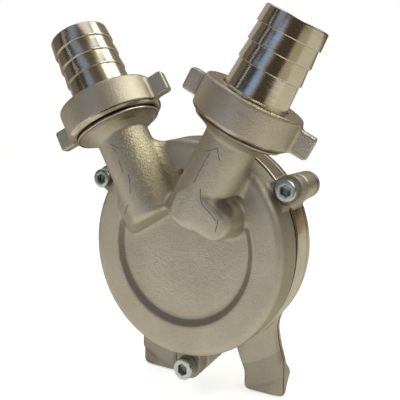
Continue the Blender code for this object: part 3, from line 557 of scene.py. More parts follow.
def casting_tree(name, bevelled):
    """Rounds a rough solid as a casting is rounded, then cuts the machined hollows."""
    node = Value.node
    tree, given = new_tree(name, Bevel="Object", Hollow="Object", Fillet="Float", Edge="Float", Voxel="Float",
                           Material="Material")
    voxel = given["Voxel"]
    band = (given["Fillet"] + given["Edge"]) / voxel + SPARE_VOXELS
    band = node(tree, "FunctionNodeFloatToInt", {}, {"Float": band})

    def grid(mesh):
        values = {"Mesh": mesh, "Voxel Size": voxel, "Band Width": band}
        return node(tree, "GeometryNodeMeshToSDFGrid", {}, values)

    def skin(sdf, level):
        values = {"Grid": sdf, "Threshold": level, "Adaptivity": 0.0}
        return node(tree, "GeometryNodeGridToMesh", {}, values)

    def without(sdf, label):
        pair = {"Grid 1": sdf, "Grid 2": grid(object_form(tree, given[label]))}
        return node(tree, "GeometryNodeSDFGridBoolean", {"operation": "DIFFERENCE"}, pair)

    sdf = grid(given["Geometry"])
    if bevelled:
        sdf = without(sdf, "Bevel")
    sdf = grid(skin(sdf, given["Fillet"]))
    sdf = grid(skin(sdf, 0.0 - given["Fillet"] - given["Edge"]))
    sdf = grid(skin(sdf, given["Edge"]))
    close_tree(tree, skin(without(sdf, "Hollow"), 0.0), given["Material"])
    return tree


def ring_tree():
    """Sets copies of one item on a circle about the y axis."""
    node = Value.node
    tree, given = new_tree("ring", Count="Int", Radius="Float", Start="Float", Material="Material")
    circle = node(tree, "GeometryNodeMeshCircle", {}, {"Vertices": given["Count"], "Radius": given["Radius"]})
    angle = 0.0 - given["Start"]
    turned = node(tree, "ShaderNodeCombineXYZ", {}, {"X": math.pi / 2, "Y": angle, "Z": 0.0})
    circle = node(tree, "GeometryNodeTransform", {}, {"Geometry": circle, "Rotation": turned})
    copies = node(tree, "GeometryNodeInstanceOnPoints", {}, {"Points": circle, "Instance": given["Geometry"]})
    close_tree(tree, copies, given["Material"])
    return tree


def thread_tree():
    """Cuts a right-hand thread into a plain cylinder that stands along its y axis."""
    node = Value.node
    tree, given = new_tree("thread", Pitch="Float", Depth="Float", Radius="Float", Material="Material")
    place = node(tree, "GeometryNodeInputPosition", {}, {})
    x, y, z = (node(tree, "ShaderNodeSeparateXYZ", {}, {0: place}, k) for k in range(3))
    away = (x * x + z * z).math("SQRT")
    outer = away.math("GREATER_THAN", given["Radius"] * THREAD_SKIN)
    turn = z.math("ARCTAN2", x) / (2 * math.pi)
    phase = (y / given["Pitch"] + turn).math("FRACT")
    ridge = (phase * 2.0 - 1.0).math("ABSOLUTE") * THREAD_FLANK - THREAD_LAND
    share = 1.0 - ridge.math("MAXIMUM", 0.0).math("MINIMUM", 1.0) * outer * given["Depth"] / given["Radius"]
    moved_to = node(tree, "ShaderNodeCombineXYZ", {}, {"X": x * share, "Y": y, "Z": z * share})
    cut = {"Geometry": given["Geometry"], "Position": moved_to}
    close_tree(tree, node(tree, "GeometryNodeSetPosition", {}, cut), given["Material"])
    return tree


# Finishes
SATIN = 0.88
TURNED_SLANT = 1.37


class Finish:
    """A material under construction. What its methods measure is in millimetres."""

    def __init__(self, name):
        self.material = bpy.data.materials.new(name)
        self.material.use_nodes = True
        self.tree = self.material.node_tree
        self.shader = self.tree.nodes["Principled BSDF"]
        self.place = self.node("ShaderNodeTexCoord", {}, {}, "Object")

    def node(self, kind, settings, inputs, output=0):
        return Value.node(self.tree, kind, settings, inputs, output)

    def noise(self, size, detail=2.0, rough=0.5):
        """Noise from 0 to 1 with features of about this size in millimetres."""
        values = {"Vector": self.place, "Scale": 1.0 / (size * MM), "Detail": detail, "Roughness": rough}
        return self.node("ShaderNodeTexNoise", {}, values)

    def cells(self, size):
        """Distance from the middles of cells of about this size in millimetres."""
        values = {"Vector": self.place, "Scale": 1.0 / (size * MM)}
        return self.node("ShaderNodeTexVoronoi", {}, values, "Distance")

    def lines(self, value, size, detail=3.0):
        """Fine lines along a value in millimetres."""
        values = {"W": value / size, "Scale": 1.0, "Detail": detail, "Roughness": 0.65}
        return self.node("ShaderNodeTexNoise", {"noise_dimensions": "1D"}, values)

    def vector(self, operation, inputs, output=0):
        return self.node("ShaderNodeVectorMath", {"operation": operation}, dict(enumerate(inputs)), output)

    def along(self, line):
        """Distance along a line from its point, in millimetres."""
        point, axis = line
        offset = self.vector("SUBTRACT", (self.place, tuple(point)))
        return self.vector("DOT_PRODUCT", (offset, tuple(axis)), "Value") / MM

    def radius(self, line):
        """Distance from a line, in millimetres."""
        point, axis = line
        offset = self.vector("SUBTRACT", (self.place, tuple(point)))
        across = self.vector("CROSS_PRODUCT", (offset, tuple(axis)))
        return self.vector("LENGTH", (across,), "Value") / MM

    def distance(self, point):
        """Distance from a point, in millimetres."""
        return self.vector("DISTANCE", (self.place, tuple(point)), "Value") / MM

    def mix(self, share, a, b):
        return self.node("ShaderNodeMix", {"data_type": "RGBA"}, {"Factor": share, "A": a, "B": b}, "Result")

    def edges(self):
        """Above 0.5 on outer edges, below 0.5 in corners."""
        return self.node("ShaderNodeNewGeometry", {}, {}, "Pointiness")

    def bump(self, height, distance, strength, below=None):
        inputs = {"Height": height, "Distance": distance * MM, "Strength": strength}
        if below:
            inputs["Normal"] = below
        return self.node("ShaderNodeBump", {}, inputs)

    def done(self, metallic=1.0, **links):
        links["metallic"] = metallic
        for name, value in links.items():
            label = name.replace("_", " ").title()
            if isinstance(value, Value):
                self.tree.links.new(value.socket, self.shader.inputs[label])
            else:
                self.shader.inputs[label].default_value = value
        return self.material


def rgb(r, g, b):
    return (r, g, b, 1.0)


def scaled(colour, share):
    """A colour made darker or lighter."""
    return rgb(*(min(1.0, share * c) for c in colour))


def cast_finish(name, colour, shade, roughness, painted_shades, painted_sheen=None):
    """Sand-cast metal under satin nickel, with grain, small pits, worn edges and painted shade in its
    corners. The painted shades are (mask, share of the shade, strength), and the last argument masks a patch
    with a painted golden sheen, painted glints and a coarser grain."""
    f = Finish(name)
    grain = f.noise(0.55, 3.0, 0.6)
    coarse = f.noise(1.8, 2.0)
    cloud = f.noise(16.0, 3.0)
    pits = 1.0 - f.cells(1.3).step(0.05, 0.3)
    edge = f.edges()
    worn = edge.step(0.515, 0.57)
    # Painted shade in concave corners, found from the mesh's pointiness
    corner_shade = 1.0 - edge.step(0.44, 0.5)
    tone = f.mix(cloud.step(0.3, 0.75), rgb(*colour), rgb(*shade))
    tone = f.mix(grain.step(0.52, 0.72) * 0.35, tone, scaled(colour, 1.25))
    tone = f.mix(pits * 0.15, tone, scaled(shade, 0.6))
    tone = f.mix(corner_shade * 0.6, tone, scaled(shade, 0.4))
    tone = f.mix(worn * 0.5, tone, scaled(colour, 1.2))
    rough = roughness + 0.16 * (coarse - 0.5) + 0.1 * pits - 0.08 * worn + 0.1 * corner_shade
    # Painted shade: each mask darkens its place toward the shade colour
    for mask, share, strength in painted_shades:
        stain_and_painted_shade = mask(f) * strength
        tone = f.mix(stain_and_painted_shade, tone, scaled(shade, share))
        rough = rough + 0.2 * stain_and_painted_shade
    height = grain * 1.5 + coarse * 0.8 - pits * 0.4
    # Painted golden sheen and painted glints on the masked patch, which also gets a coarser grain in its bump
    # and less roughness
    if painted_sheen:
        patch = painted_sheen(f)
        grain_and_glint = f.noise(0.9, 3.0, 0.65)
        tone = f.mix(patch * 0.5, tone, rgb(0.45, 0.39, 0.23))
        tone = f.mix(grain_and_glint.step(0.45, 0.75) * patch * 0.55, tone, rgb(0.86, 0.80, 0.60))
        rough = rough - 0.1 * patch
        height = height + grain_and_glint * 1.6 * patch
    return f.done(SATIN, base_color=tone, roughness=rough, normal=f.bump(height, 0.16, 0.75))


def seam_painted_shade(f):
    """Painted shade in the groove between cover and casing."""
    groove = 1.0 - f.radius(PUMP_LINE).step(RIM_R - 0.35, RIM_R - 0.15)
    return f.along(PUMP_LINE).band(SEAM_Y, SEAM_WIDTH - 0.1, 0.1) * groove


def recess_painted_shade(f):
    """Painted shade on the slope round the recess."""
    slope = f.radius(PUMP_LINE).band(RECESS_R - RECESS_SLOPE / 2, 0.9, 0.7)
    return f.along(PUMP_LINE).step(-0.1, 0.4) * slope


def pocket_painted_shade(f):
    """Painted shade in the pocket under the step of the right neck."""
    under = 1.0 - f.along(PORT_LINES["right"]).step(STEP_ALONG + 0.2, STEP_ALONG + 0.8)
    return (1.0 - f.distance(PORTS["right"] @ Vector(POCKET)).step(3.0, 6.0)) * under


def side_painted_shade(f):
    """Painted shade on the side of the cover behind its rim."""
    outside = f.radius(PUMP_LINE).step(RIM_R - 2.4, RIM_R - 1.2)
    return f.along(PUMP_LINE).step(0.8, 3.2) * outside


def flange_cut_painted_shade(f):
    """Painted shade in the cut line of the casing's flange."""
    return f.along(PUMP_LINE).band(CASING_LINE_Y, 0.4, 0.25)


def collar_line_painted_shade(side):
    """Painted shade in the turned lines of a collar."""
    def lines(f):
        away = f.radius(PORT_LINES[side])
        first, *others = [away.band(r, 0.1, 0.14) for r in COLLAR_LINES]
        for line in others:
            first = first.math("MAXIMUM", line)
        return first
    return lines


def flank_painted_sheen(f):
    """The patch on the inner flank of the left neck that gets a painted golden sheen and painted glints, and
    a coarser grain.
    """
    port = PORTS["left"]
    along = f.along(PORT_LINES["left"]).band((NECK_END + FLARE_START) / 2 + 2.0, 14.0, 4.0)
    across = f.along((port.translation, port.col[0].to_3d().normalized()))
    front = 1.0 - f.along(PUMP_LINE).step(-1.0, 1.5)
    return across.step(0.0, 4.0) * (1.0 - across.step(13.0, 15.0)) * along * front


def boss_groove_painted_shade(f):
    """Painted shade in the ring grooves of the screw bosses."""
    outside = f.radius(PUMP_LINE).step(CASING_R + 0.2, CASING_R + 0.6)
    return f.along(PUMP_LINE).band(BOSS_RING_Y, 0.55, 0.2) * outside


def foot_painted_shade(f):
    """Painted shade on the feet outside their round crease."""
    low = f.along((AXIS, (0.0, 0.0, -1.0))).step(44.0, 46.0)
    return f.radius(PUMP_LINE).step(LEG_CREASE_R - 0.15, LEG_CREASE_R + 0.15) * low


def turned_finish(name, colour, shade, roughness, line, spacing=0.16, depth=0.02, groove=None):
    """Turned metal: fine marks round a centre line, faint stains, painted shade in its corners and, where a
    groove mask is given, painted shade in that groove.
    """
    f = Finish(name)
    where = f.along(line) + f.radius(line) * TURNED_SLANT
    fine = f.lines(where, spacing)
    wide = f.lines(where + 31.0, 6.0 * spacing, 2.0)
    stain_and_painted_shade = f.noise(7.0, 4.0, 0.6)
    edge = f.edges()
    tone = f.mix(stain_and_painted_shade.step(0.35, 0.8) * 0.6, rgb(*colour), rgb(*shade))
    tone = f.mix(fine.step(0.45, 0.75) * 0.25, tone, scaled(shade, 0.6))
    # Painted shade in concave corners, found from the mesh's pointiness
    tone = f.mix((1.0 - edge.step(0.42, 0.5)) * 0.5, tone, scaled(shade, 0.3))
    # Painted shade in the groove that the groove mask gives
    if groove:
        tone = f.mix(groove(f) * 0.9, tone, scaled(shade, 0.12))
    rough = roughness + 0.14 * (fine - 0.5) + 0.08 * (stain_and_painted_shade - 0.5)
    normal = f.bump(fine + wide * 1.5, depth, 0.5)
    return f.done(base_color=tone, roughness=rough, normal=normal)


def nut_finish(name, line):
    """Satin cast nut with its turned foot and top, its worn edges left bright and painted shade in its
    corners.
    """
    f = Finish(name)
    where = f.along(line)
    away = f.radius(line)
    on_nut = 1.0 - away.step(NUT_R + 0.15, NUT_R + 0.5)
    foot = (1.0 - where.step(NUT_BOTTOM + 1.5, NUT_BOTTOM + 1.8)) * on_nut
    top = where.step(NUT_TOP - 0.45, NUT_TOP - 0.2)
    machined = foot.math("MAXIMUM", top)
    grain = f.noise(0.65, 3.0, 0.6)
    coarse = f.noise(2.0, 2.0)
    cloud = f.noise(12.0, 3.0)
    fine = f.lines(where + away * TURNED_SLANT, 0.15)
    edge = f.edges()
    worn = edge.step(0.52, 0.58)
    # Painted shade in concave corners, found from the mesh's pointiness
    corner_shade = 1.0 - edge.step(0.43, 0.5)
    satin = f.mix(cloud.step(0.3, 0.75), rgb(0.57, 0.515, 0.42), rgb(0.49, 0.44, 0.355))
    satin = f.mix(grain.step(0.5, 0.75) * 0.35, satin, rgb(0.62, 0.57, 0.46))
    bright = f.mix(foot * cloud.step(0.35, 0.65), rgb(0.68, 0.63, 0.53), rgb(0.30, 0.25, 0.18))
    tone = f.mix(machined.math("MAXIMUM", worn * 0.8), satin, bright)
    tone = f.mix(corner_shade * 0.5, tone, rgb(0.16, 0.14, 0.11))
    rough = (0.4 + 0.14 * (coarse - 0.5)) * (1.0 - machined) + machined * (0.14 + 0.1 * fine) - 0.06 * worn
    cast = f.bump((grain * 1.2 + coarse * 0.6) * (1.0 - machined), 0.19, 0.75)
    normal = f.bump(fine * machined, 0.02, 0.4, cast)
    return f.done(SATIN + (1.0 - SATIN) * machined, base_color=tone, roughness=rough, normal=normal)


def zinc_finish(name):
    """Zinc-plated screws with a faint yellow-green cast."""
    f = Finish(name)
    cloud = f.noise(3.0, 3.0)
    grain = f.noise(0.25, 2.0)
    edge = f.edges()
    tone = f.mix(cloud.step(0.3, 0.7), rgb(0.68, 0.72, 0.66), rgb(0.58, 0.63, 0.62))
    # Painted shade in concave corners, found from the mesh's pointiness
    tone = f.mix((1.0 - edge.step(0.42, 0.5)) * 0.6, tone, rgb(0.10, 0.11, 0.12))
    rough = 0.3 + 0.16 * (grain - 0.5) + 0.12 * (cloud - 0.5)
    return f.done(base_color=tone, roughness=rough, normal=f.bump(grain, 0.03, 0.3))


def plain_finish(name, colour, roughness, metallic, grain_size, grain_depth):
    """Even finish with a fine grain."""
    f = Finish(name)
    grain = f.noise(grain_size, 3.0)
    cloud = f.noise(9.0 * grain_size, 2.0)
    tone = f.mix(cloud.step(0.3, 0.7), rgb(*colour), scaled(colour, 0.8))
    rough = roughness + 0.12 * (grain - 0.5)
    return f.done(metallic, base_color=tone, roughness=rough, normal=f.bump(grain, grain_depth, 0.4))


# Front cover


def steep_side(r, fillet):
    """Side of a neck from its crown: a quarter round, then a filleted flank down to the face."""
    points = [(r * math.sin(a), r * math.cos(a)) for a in np.linspace(0, math.pi / 2, 25)]
    return points + [(r + fillet * f ** NECK_FILLET_POWER, PORT_Y * f) for f in np.linspace(0, 1, 9)[1:]]


def cut_side(r):
    """Side of a neck from its crown: a part round, then a slope and a straight drop to the face."""
    end = math.asin(STEP_ACROSS / NECK_R)
    points = [(r * math.sin(a), r * math.cos(a)) for a in np.linspace(0, end, 25)]
    x, z = points[-1]
    foot = STEP_FOOT * r / NECK_R
    points += [(x + (foot - x) * f, z * (1 - f)) for f in np.linspace(0, 1, 5)[1:]]
    return points + [(foot, PORT_Y * f) for f in np.linspace(0, 1, 5)[1:]]


def sloping_side(r):
    """Side of a neck from its crown: a part round, then a straight slope down to the face."""
    end = math.radians(SKIRT_ANGLE)
    points = [(r * math.sin(a), r * math.cos(a)) for a in np.linspace(0, end, 17)]
    x, z = points[-1]
    drop = z - PORT_Y
    return points + [(x + drop / math.tan(end) * f, z - drop * f) for f in np.linspace(0, 1, 17)[1:]]


def clear_side(side, r, share):
    """A neck's side with its flank drawn in to a full round, where the neck stands clear of the cover."""
    return [(x + share * (math.sqrt(max(r * r - z * z, 0.0)) - x), z) if z < 0 else (x, z) for x, z in side]


def neck(sign):
    """Half-round neck that runs down into the cover, rounded at its low end. The right one has a step."""
    base = PORT_Y - CHAMBER_Y - SINK
    low = SKIRT_LOW if sign < 0 else STEP_ALONG + STEP_RUN
    steps = []
    for a in np.linspace(0, math.pi / 2, 9):
        steps.append((NECK_END + NECK_END_ROUND * (1 - math.cos(a)), NECK_END_ROUND * (1 - math.sin(a))))
    if sign > 0:
        steps.append((STEP_ALONG, 0.0))
    steps += [(y, 0.0) for y in (*np.linspace(low, SKIRT_TOP, 9), NECK_CLEAR[1], FLARE_START + 0.6)]
    sections = []
    for y, inset in steps:
        r = NECK_R - inset
        share = np.interp(y, (low, SKIRT_TOP), (1.0, 0.0))
        inner, outer = steep_side(r, NECK_FILLET), steep_side(r, STEP_FLANK * share)
        if sign < 0:
            outer = [tuple(u + (v - u) * share for u, v in zip(a, b)) for a, b in zip(outer, sloping_side(r))]
        elif y <= STEP_ALONG:
            outer = cut_side(r)
        clear = np.interp(y, NECK_CLEAR, (0.0, 1.0))
        back = base + clear * (-NECK_BACK * r - base)
        sides = [clear_side(side + [(side[-1][0], back)], r, clear) for side in (inner, outer)]
        tilt = STEP_TILT if sign > 0 and abs(y - STEP_ALONG) < 1.0 else 0.0
        left, right = sides if sign > 0 else reversed(sides)
        ring = [(right[-1][0], y, back)]
        ring += [(x, y + tilt * (STEP_TILT_FROM - z), z) for x, z in reversed(right[:-1])]
        ring += [(-x, y, z) for x, z in left[1:]]
        sections.append(ring)
    return loft(sections)


def flare_curve(count):
    """Hollow curve of a collar, from the neck out to the collar's edge."""
    end = (COLLAR_R - COLLAR_EDGE, COLLAR_TOP - COLLAR_UNDER)
    return bend((NECK_R - 0.1, FLARE_START), (NECK_R, FLARE_TURN), end, count) + [end]


def flare():
    """Collar of a port: a hollow curve leads from the neck to a wide cone."""
    root = FLARE_START - ROOT_DEPTH
    profile = [(0, root), (NECK_R - 0.4, root)] + flare_curve(24)
    profile += [(COLLAR_R, COLLAR_TOP - below) for below in COLLAR_SIDE]
    return profile + [(COLLAR_R - COLLAR_EDGE, COLLAR_TOP), (0, COLLAR_TOP)]


def lobe(top):
    """Domed lobe with a steep side."""
    base = CHAMBER_Y + SINK
    lean = (LOBE_R - LOBE_SHOULDER_R) / LOBE_SHOULDER
    corner = LOBE_SHOULDER_R - lean * (top - LOBE_SHOULDER)
    shoulder = (LOBE_SHOULDER_R, -LOBE_SHOULDER)
    profile = [(0, -top)] + bend((LOBE_FLAT * corner, -top), (corner, -top), shoulder, 12)
    return profile + [shoulder, (LOBE_R + lean * base, base), (0, base)]


def lobe_forms():
    """The lobe at the low end of the right neck, and the crowns that lead over to it."""
    forms = []
    for root in LOBE_ROOTS:
        for share in np.linspace(0, 1, 13):
            x, z = (a + (b - a) * share for a, b in zip(LOBE, root))
            top = LOBE_TOP + (LOBE_ROOT_TOP - LOBE_TOP) * share
            forms.append(moved(lathe(lobe(top), 96), Matrix.Translation((x, 0.0, z))))
    return forms


def screw_places():
    for k in range(SCREW_COUNT):
        t = math.radians(SCREW_START + 360.0 * k / SCREW_COUNT)
        yield SCREW_CIRCLE_R * math.cos(t), SCREW_CIRCLE_R * math.sin(t), t


def lug_outline(angle, inner_r, half):
    """A tongue from the body out to a half round about a screw."""
    points = [(inner_r, half), (inner_r, -half)] + arc((SCREW_CIRCLE_R, 0), half, -90, 90, 25)
    c, s = math.cos(angle), math.sin(angle)
    return [(u * c - v * s, u * s + v * c) for u, v in points]


def cover_disc():
    front = RIM_R - RIM_DRAFT
    profile = [(0, RECESS_DEPTH), (RECESS_R - RECESS_SLOPE, RECESS_DEPTH), (RECESS_R, 0)]
    profile += arc((front - RIM_ROUND, RIM_ROUND), RIM_ROUND, -90, 0, 10)
    return profile + [(RIM_R, SEAM_Y), (0, SEAM_Y)]


def in_pump(side, form):
    """A form of a port, moved into the pump's frame."""
    return moved(form, PUMP.inverted() @ PORTS[side])


def port_hollow(side):
    chamfer, end = BORE_CHAMFER, SPIGOT_TOP + OVERRUN
    bore = [(0, BORE_END), (PORT_BORE_R - chamfer, BORE_END), (PORT_BORE_R, BORE_END + chamfer)]
    bore = lathe(bore + [(PORT_BORE_R, end), (0, end)], 96)
    x = SIGNS[side] * WINDOW_AT * math.sin(math.radians(WINDOW_ANGLE))
    z = WINDOW_AT * math.cos(math.radians(WINDOW_ANGLE))
    return [in_pump(side, bore), cylinder_y(WINDOW_R, PORT_Y + WINDOW_TOP, SEAM_Y, x, z)]


def build_cover(finish, tree):
    forms = [lathe(cover_disc(), 200)] + lobe_forms()
    corner, back = CHAMBER_CORNER, SEAM_Y + OVERRUN
    chamber = [(0, CHAMBER_Y), (CHAMBER_R - corner, CHAMBER_Y), (CHAMBER_R, CHAMBER_Y + corner)]
    hollows = [lathe(chamber + [(CHAMBER_R, back), (0, back)], 200)]
    for side, sign in SIGNS.items():
        forms += [in_pump(side, neck(sign)), in_pump(side, lathe(flare(), 128))]
        hollows += port_hollow(side)
    r, out, y = RIM_R - SEAM_DEPTH, RIM_R + SEAM_REACH, SEAM_Y - SEAM_WIDTH
    hollows.append(lathe([(r, y), (out, y), (out, back), (r, back)], 200))
    for x, z, t in screw_places():
        forms.append(prism_y(lug_outline(t, RIM_R - LUG_ROOT, LUG_R), LUG_Y - LUG_STOCK, SEAM_Y))
        hollows.append(cylinder_y(SCREW_R + SCREW_PLAY, LUG_Y - OVERRUN, back, x, z))
        hollows.append(cylinder_y(SPOT_R, LUG_Y - SPOT_H, LUG_Y, x, z))
    cover = shape("cover_casting", forms, PUMP)
    hollow = shape("cover_hollow", hollows, PUMP)
    run_tree(cover, tree, {"Hollow": hollow, "Material": finish, **rounding(COVER_ROUNDING)})
    thrown_away(hollow)
    return cover


def build_collar(side):
    """Turned ring with fine lines on the underside of a collar's edge."""
    profile = []
    for r, y in flare_curve(400):
        if r >= COLLAR_TURNED_R:
            line = min(abs(r - at) for at in COLLAR_LINES)
            cut = COLLAR_LINE_DEPTH * max(0.0, 1.0 - line / COLLAR_LINE_HALF)
            profile.append((r, y - COLLAR_SKIN + cut))
    edge, top = COLLAR_R + COLLAR_PROUD, COLLAR_TOP + COLLAR_PROUD
    profile += [(edge, COLLAR_TOP - below) for below in COLLAR_SIDE]
    profile += [(COLLAR_R - 0.15, top), (COLLAR_TURNED_R, top)]
    return shape(side + "_collar_turned", [lathe(profile, 192)], PORTS[side])


def flow_tree():
    """Lays thin raised lines on the casting below them."""
    node = Value.node
    tree, given = new_tree("flow_lines", Casting="Object", Radius="Float", Spacing="Float",
                           Material="Material")
    path = node(tree, "GeometryNodeMeshToCurve", {}, {"Mesh": given["Geometry"]})
    path = node(tree, "GeometryNodeCurveSplineType", {"spline_type": "CATMULL_ROM"}, {"Curve": path})
    even = {"Curve": path, "Length": given["Spacing"]}
    path = node(tree, "GeometryNodeResampleCurve", {"mode": "LENGTH"}, even)
    place = node(tree, "GeometryNodeInputPosition", {}, {})
    ray = {"Target Geometry": object_form(tree, given["Casting"]), "Source Position": place,
           "Ray Direction": (0.0, 1.0, 0.0), "Ray Length": 0.1}
    hit = node(tree, "GeometryNodeRaycast", {"data_type": "FLOAT"}, ray, "Hit Position")
    path = node(tree, "GeometryNodeSetPosition", {}, {"Geometry": path, "Position": hit})
    wire = node(tree, "GeometryNodeCurvePrimitiveCircle", {}, {"Resolution": 8, "Radius": given["Radius"]})
    tube = {"Curve": path, "Profile Curve": wire, "Fill Caps": True}
    line = node(tree, "GeometryNodeCurveToMesh", {}, tube)
    close_tree(tree, line, given["Material"])
    return tree


def build_flow_arrows(cover, finish):
    """Arrows on the necks: each line starts in front of the casting and is laid down on it."""
    verts, edges = [], []
    for side, lines in FLOW_LINES.items():
        for line in lines:
            for k, (across, along) in enumerate(line):
                if k:
                    edges.append((len(verts) - 1, len(verts)))
                verts.append(tuple(PORTS[side] @ Vector((across, along, FLOW_FRONT))))
    mesh = bpy.data.meshes.new("flow_arrows")
    mesh.from_pydata(verts, edges, [])
    obj = linked("flow_arrows", mesh)
    run_tree(obj, flow_tree(), {"Casting": cover, "Radius": FLOW_LINE_R * MM, "Spacing": FLOW_SPACING * MM,
                                "Material": finish})
    face_outward(obj.data)
    return obj


def thinned(obj, most):
    """Collapse an even mesh to at most this many triangles, keeping its shape."""
    count = sum(len(p.vertices) - 2 for p in obj.data.polygons)
    if count > most:
        mod = obj.modifiers.new("thin", "DECIMATE")
        mod.ratio = most / count
        evaluated(obj)
    return obj


def softened(obj, times):
    """Even out the grid's small steps."""
    mod = obj.modifiers.new("soft", "SMOOTH")
    mod.factor = 0.5
    mod.iterations = times
    return evaluated(obj)


def build_spigot(side, finish, tree):
    """Threaded spigot on top of a collar."""
    inner, neck_r = PORT_BORE_R + 0.05, SPIGOT_R - SPIGOT_CHAMFER
    outline = [(inner, COLLAR_TOP - 0.9), (neck_r, COLLAR_TOP - 0.9)]
    rows = np.arange(COLLAR_TOP - 0.6, SPIGOT_TOP - 0.79, THREAD_PITCH / THREAD_ROWS)
    outline += [(SPIGOT_R, y) for y in rows] + [(neck_r, SPIGOT_TOP), (inner, SPIGOT_TOP)]
    spigot = shape(side + "_spigot_thread", [lathe(outline, 144)], Matrix.Scale(MM, 4))
    run_tree(spigot, tree, {"Pitch": THREAD_PITCH * MM, "Depth": THREAD_DEPTH * MM, "Radius": SPIGOT_R * MM,
                            "Material": finish})
    spigot.data.transform(PORTS[side] @ Matrix.Scale(1 / MM, 4))
    return spigot


# Rear casing


def leg_outline(sign):
    """Outline of a leg from its root in the casing down the inner side, round the foot and up again."""
    root_r, edge_r = CASING_R - ROOT_DEPTH, CASING_R - LEG_SHOULDER_INSET
    bottom, k = -AXIS_HEIGHT, FOOT_ROUND
    top = (LEG_ROOT_X, -math.sqrt(root_r ** 2 - LEG_ROOT_X ** 2))
    ankle = (FOOT_IN_X, bottom + ANKLE_H)
    knee = (LEG_KNEE[0], top[1] + LEG_KNEE[1] * (ankle[1] - top[1]))
    below, waist, above = LEG_WAIST
    calf = (FOOT_OUT_X, bottom + CALF_H)
    a = math.radians(LEG_SHOULDER_ANGLE)
    shoulder = (edge_r * math.cos(a), -edge_r * math.sin(a))
    points = bend(top, knee, ankle, 16) + [ankle]
    points += bend((FOOT_IN_X, bottom + k), (FOOT_IN_X, bottom), (FOOT_IN_X + k, bottom), 6)
    points += bend((FOOT_OUT_X - k, bottom), (FOOT_OUT_X, bottom), (FOOT_OUT_X, bottom + k), 6)
    points += [(FOOT_OUT_X, bottom + k)] + bend(calf, below, waist, 10) + bend(waist, above, shoulder, 12)
    points += [shoulder, (root_r * math.cos(a), -root_r * math.sin(a))]
    return [(sign * x, z) for x, z in points]


def boss(angle):
    e, root_r = CASING_EDGE, CASING_R - ROOT_DEPTH
    steps = [(CASING_Y + 0.15, 0.0), (BOSS_END_Y - e, 0.0), (BOSS_END_Y, e)]
    return loft([[(x, y, z) for x, z in lug_outline(angle, root_r, LUG_R - d)] for y, d in steps])


def casing_body():
    e, foot = CASING_EDGE, HUB_FOOT_HOLLOW * HUB_FOOT
    profile = [(0, CASING_Y), (CASING_R - e, CASING_Y), (CASING_R, CASING_Y + e),
               (CASING_R, CASING_BACK_Y - e), (CASING_R - e, CASING_BACK_Y), (CASING_RIM_IN_R, CASING_BACK_Y),
               (CASING_RIM_IN_R - CASING_RIM_SLOPE, CASING_WALL_Y), (HUB_R + HUB_FOOT, CASING_WALL_Y),
               (HUB_R + foot, CASING_WALL_Y + foot), (HUB_R, CASING_WALL_Y + HUB_FOOT),
               (HUB_R, HUB_END_Y - e), (HUB_R - e, HUB_END_Y), (0, HUB_END_Y)]
    return lathe(profile, 200)


def casing_hollow():
    seat_r, groove_r = BEARING_R + BEARING_PLAY, BEARING_R + HUB_GROOVE_DEPTH
    front, back = CASING_Y - OVERRUN, HUB_END_Y + OVERRUN
    inner = [(0, front), (CHAMBER_R, front), (CHAMBER_R, CASING_FLOOR_Y), (SEAL_POCKET_R, CASING_FLOOR_Y),
             (SEAL_POCKET_R, SEAL_POCKET_Y), (SHAFT_HOLE_R, SEAL_POCKET_Y), (SHAFT_HOLE_R, BEARING_SEAT_Y),
             (seat_r, BEARING_SEAT_Y), (seat_r, BEARING_BACK_Y), (groove_r, BEARING_BACK_Y),
             (groove_r, HUB_GROOVE_END_Y), (seat_r, HUB_GROOVE_END_Y), (seat_r, back), (0, back)]
    a, b = O_GROOVE
    floor = CASING_Y + O_GROOVE_DEPTH
    forms = [lathe(inner, 200), lathe([(a, front), (b, front), (b, floor), (a, floor)], 200)]
    out, y = LUG_R + 1.0, BOSS_RING_Y
    ring = lathe([(LUG_R - BOSS_RING_DEPTH, y), (out, y - 1.0), (out, y + 1.0)], 64)
    for x, z, t in screw_places():
        forms.append(cylinder_y(SCREW_R + SCREW_PLAY, SEAM_Y - OVERRUN, SCREW_HOLE_END_Y, x, z, 48))
        forms.append(moved(ring, Matrix.Translation((x, 0.0, z))))
    return forms


def foot_cutters():
    """Slope on the front of the feet outside a round crease, and the bevel behind their standing lands."""
    far = 2 * AXIS_HEIGHT
    rise = (far - LEG_CREASE_R) * math.tan(math.radians(LEG_SLOPE))
    before = LEG_Y - 1.5
    slope = lathe([(LEG_CREASE_R, before), (LEG_CREASE_R, LEG_Y), (far, LEG_Y + rise), (far, before)], 240)
    y, z, reach = HEEL_BOTTOM_Y, -AXIS_HEIGHT, HEEL_BEVEL
    outline = [(y, z - OVERRUN), (y, z), (y + reach, z + reach), (y + reach, z - OVERRUN)]
    inside, outside = FOOT_IN_X - OVERRUN, FOOT_OUT_X + OVERRUN
    return [slope] + [prism_x(outline, s * inside, s * outside) for s in SIGNS.values()]


def build_casing(finish):
    forms = [casing_body()] + [boss(t) for x, z, t in screw_places()]
    bottom = -AXIS_HEIGHT
    z, e = bottom + HEEL_H, HEEL_EDGE
    heel = [(LEG_BACK_Y - 0.4, z + HEEL_ROOT_H), (HEEL_Y - e, z + e), (HEEL_Y, z - e), (HEEL_Y - e, bottom),
            (LEG_BACK_Y - ROOT_DEPTH, bottom)]
    for sign in SIGNS.values():
        forms.append(prism_y(leg_outline(sign), LEG_Y - 0.15, LEG_BACK_Y))
        forms.append(prism_x(heel, sign * (FOOT_IN_X + HEEL_INSET), sign * FOOT_OUT_X))
    casing = shape("casing_casting", forms, PUMP)
    hollow = shape("casing_hollow", casing_hollow(), PUMP)
    cut = shape("foot_cutters", foot_cutters(), PUMP)
    run_tree(casing, casting_tree("casing_rounding", True),
             {"Bevel": cut, "Hollow": hollow, "Material": finish, **rounding(CASING_ROUNDING)})
    thrown_away(hollow, cut)
    return casing


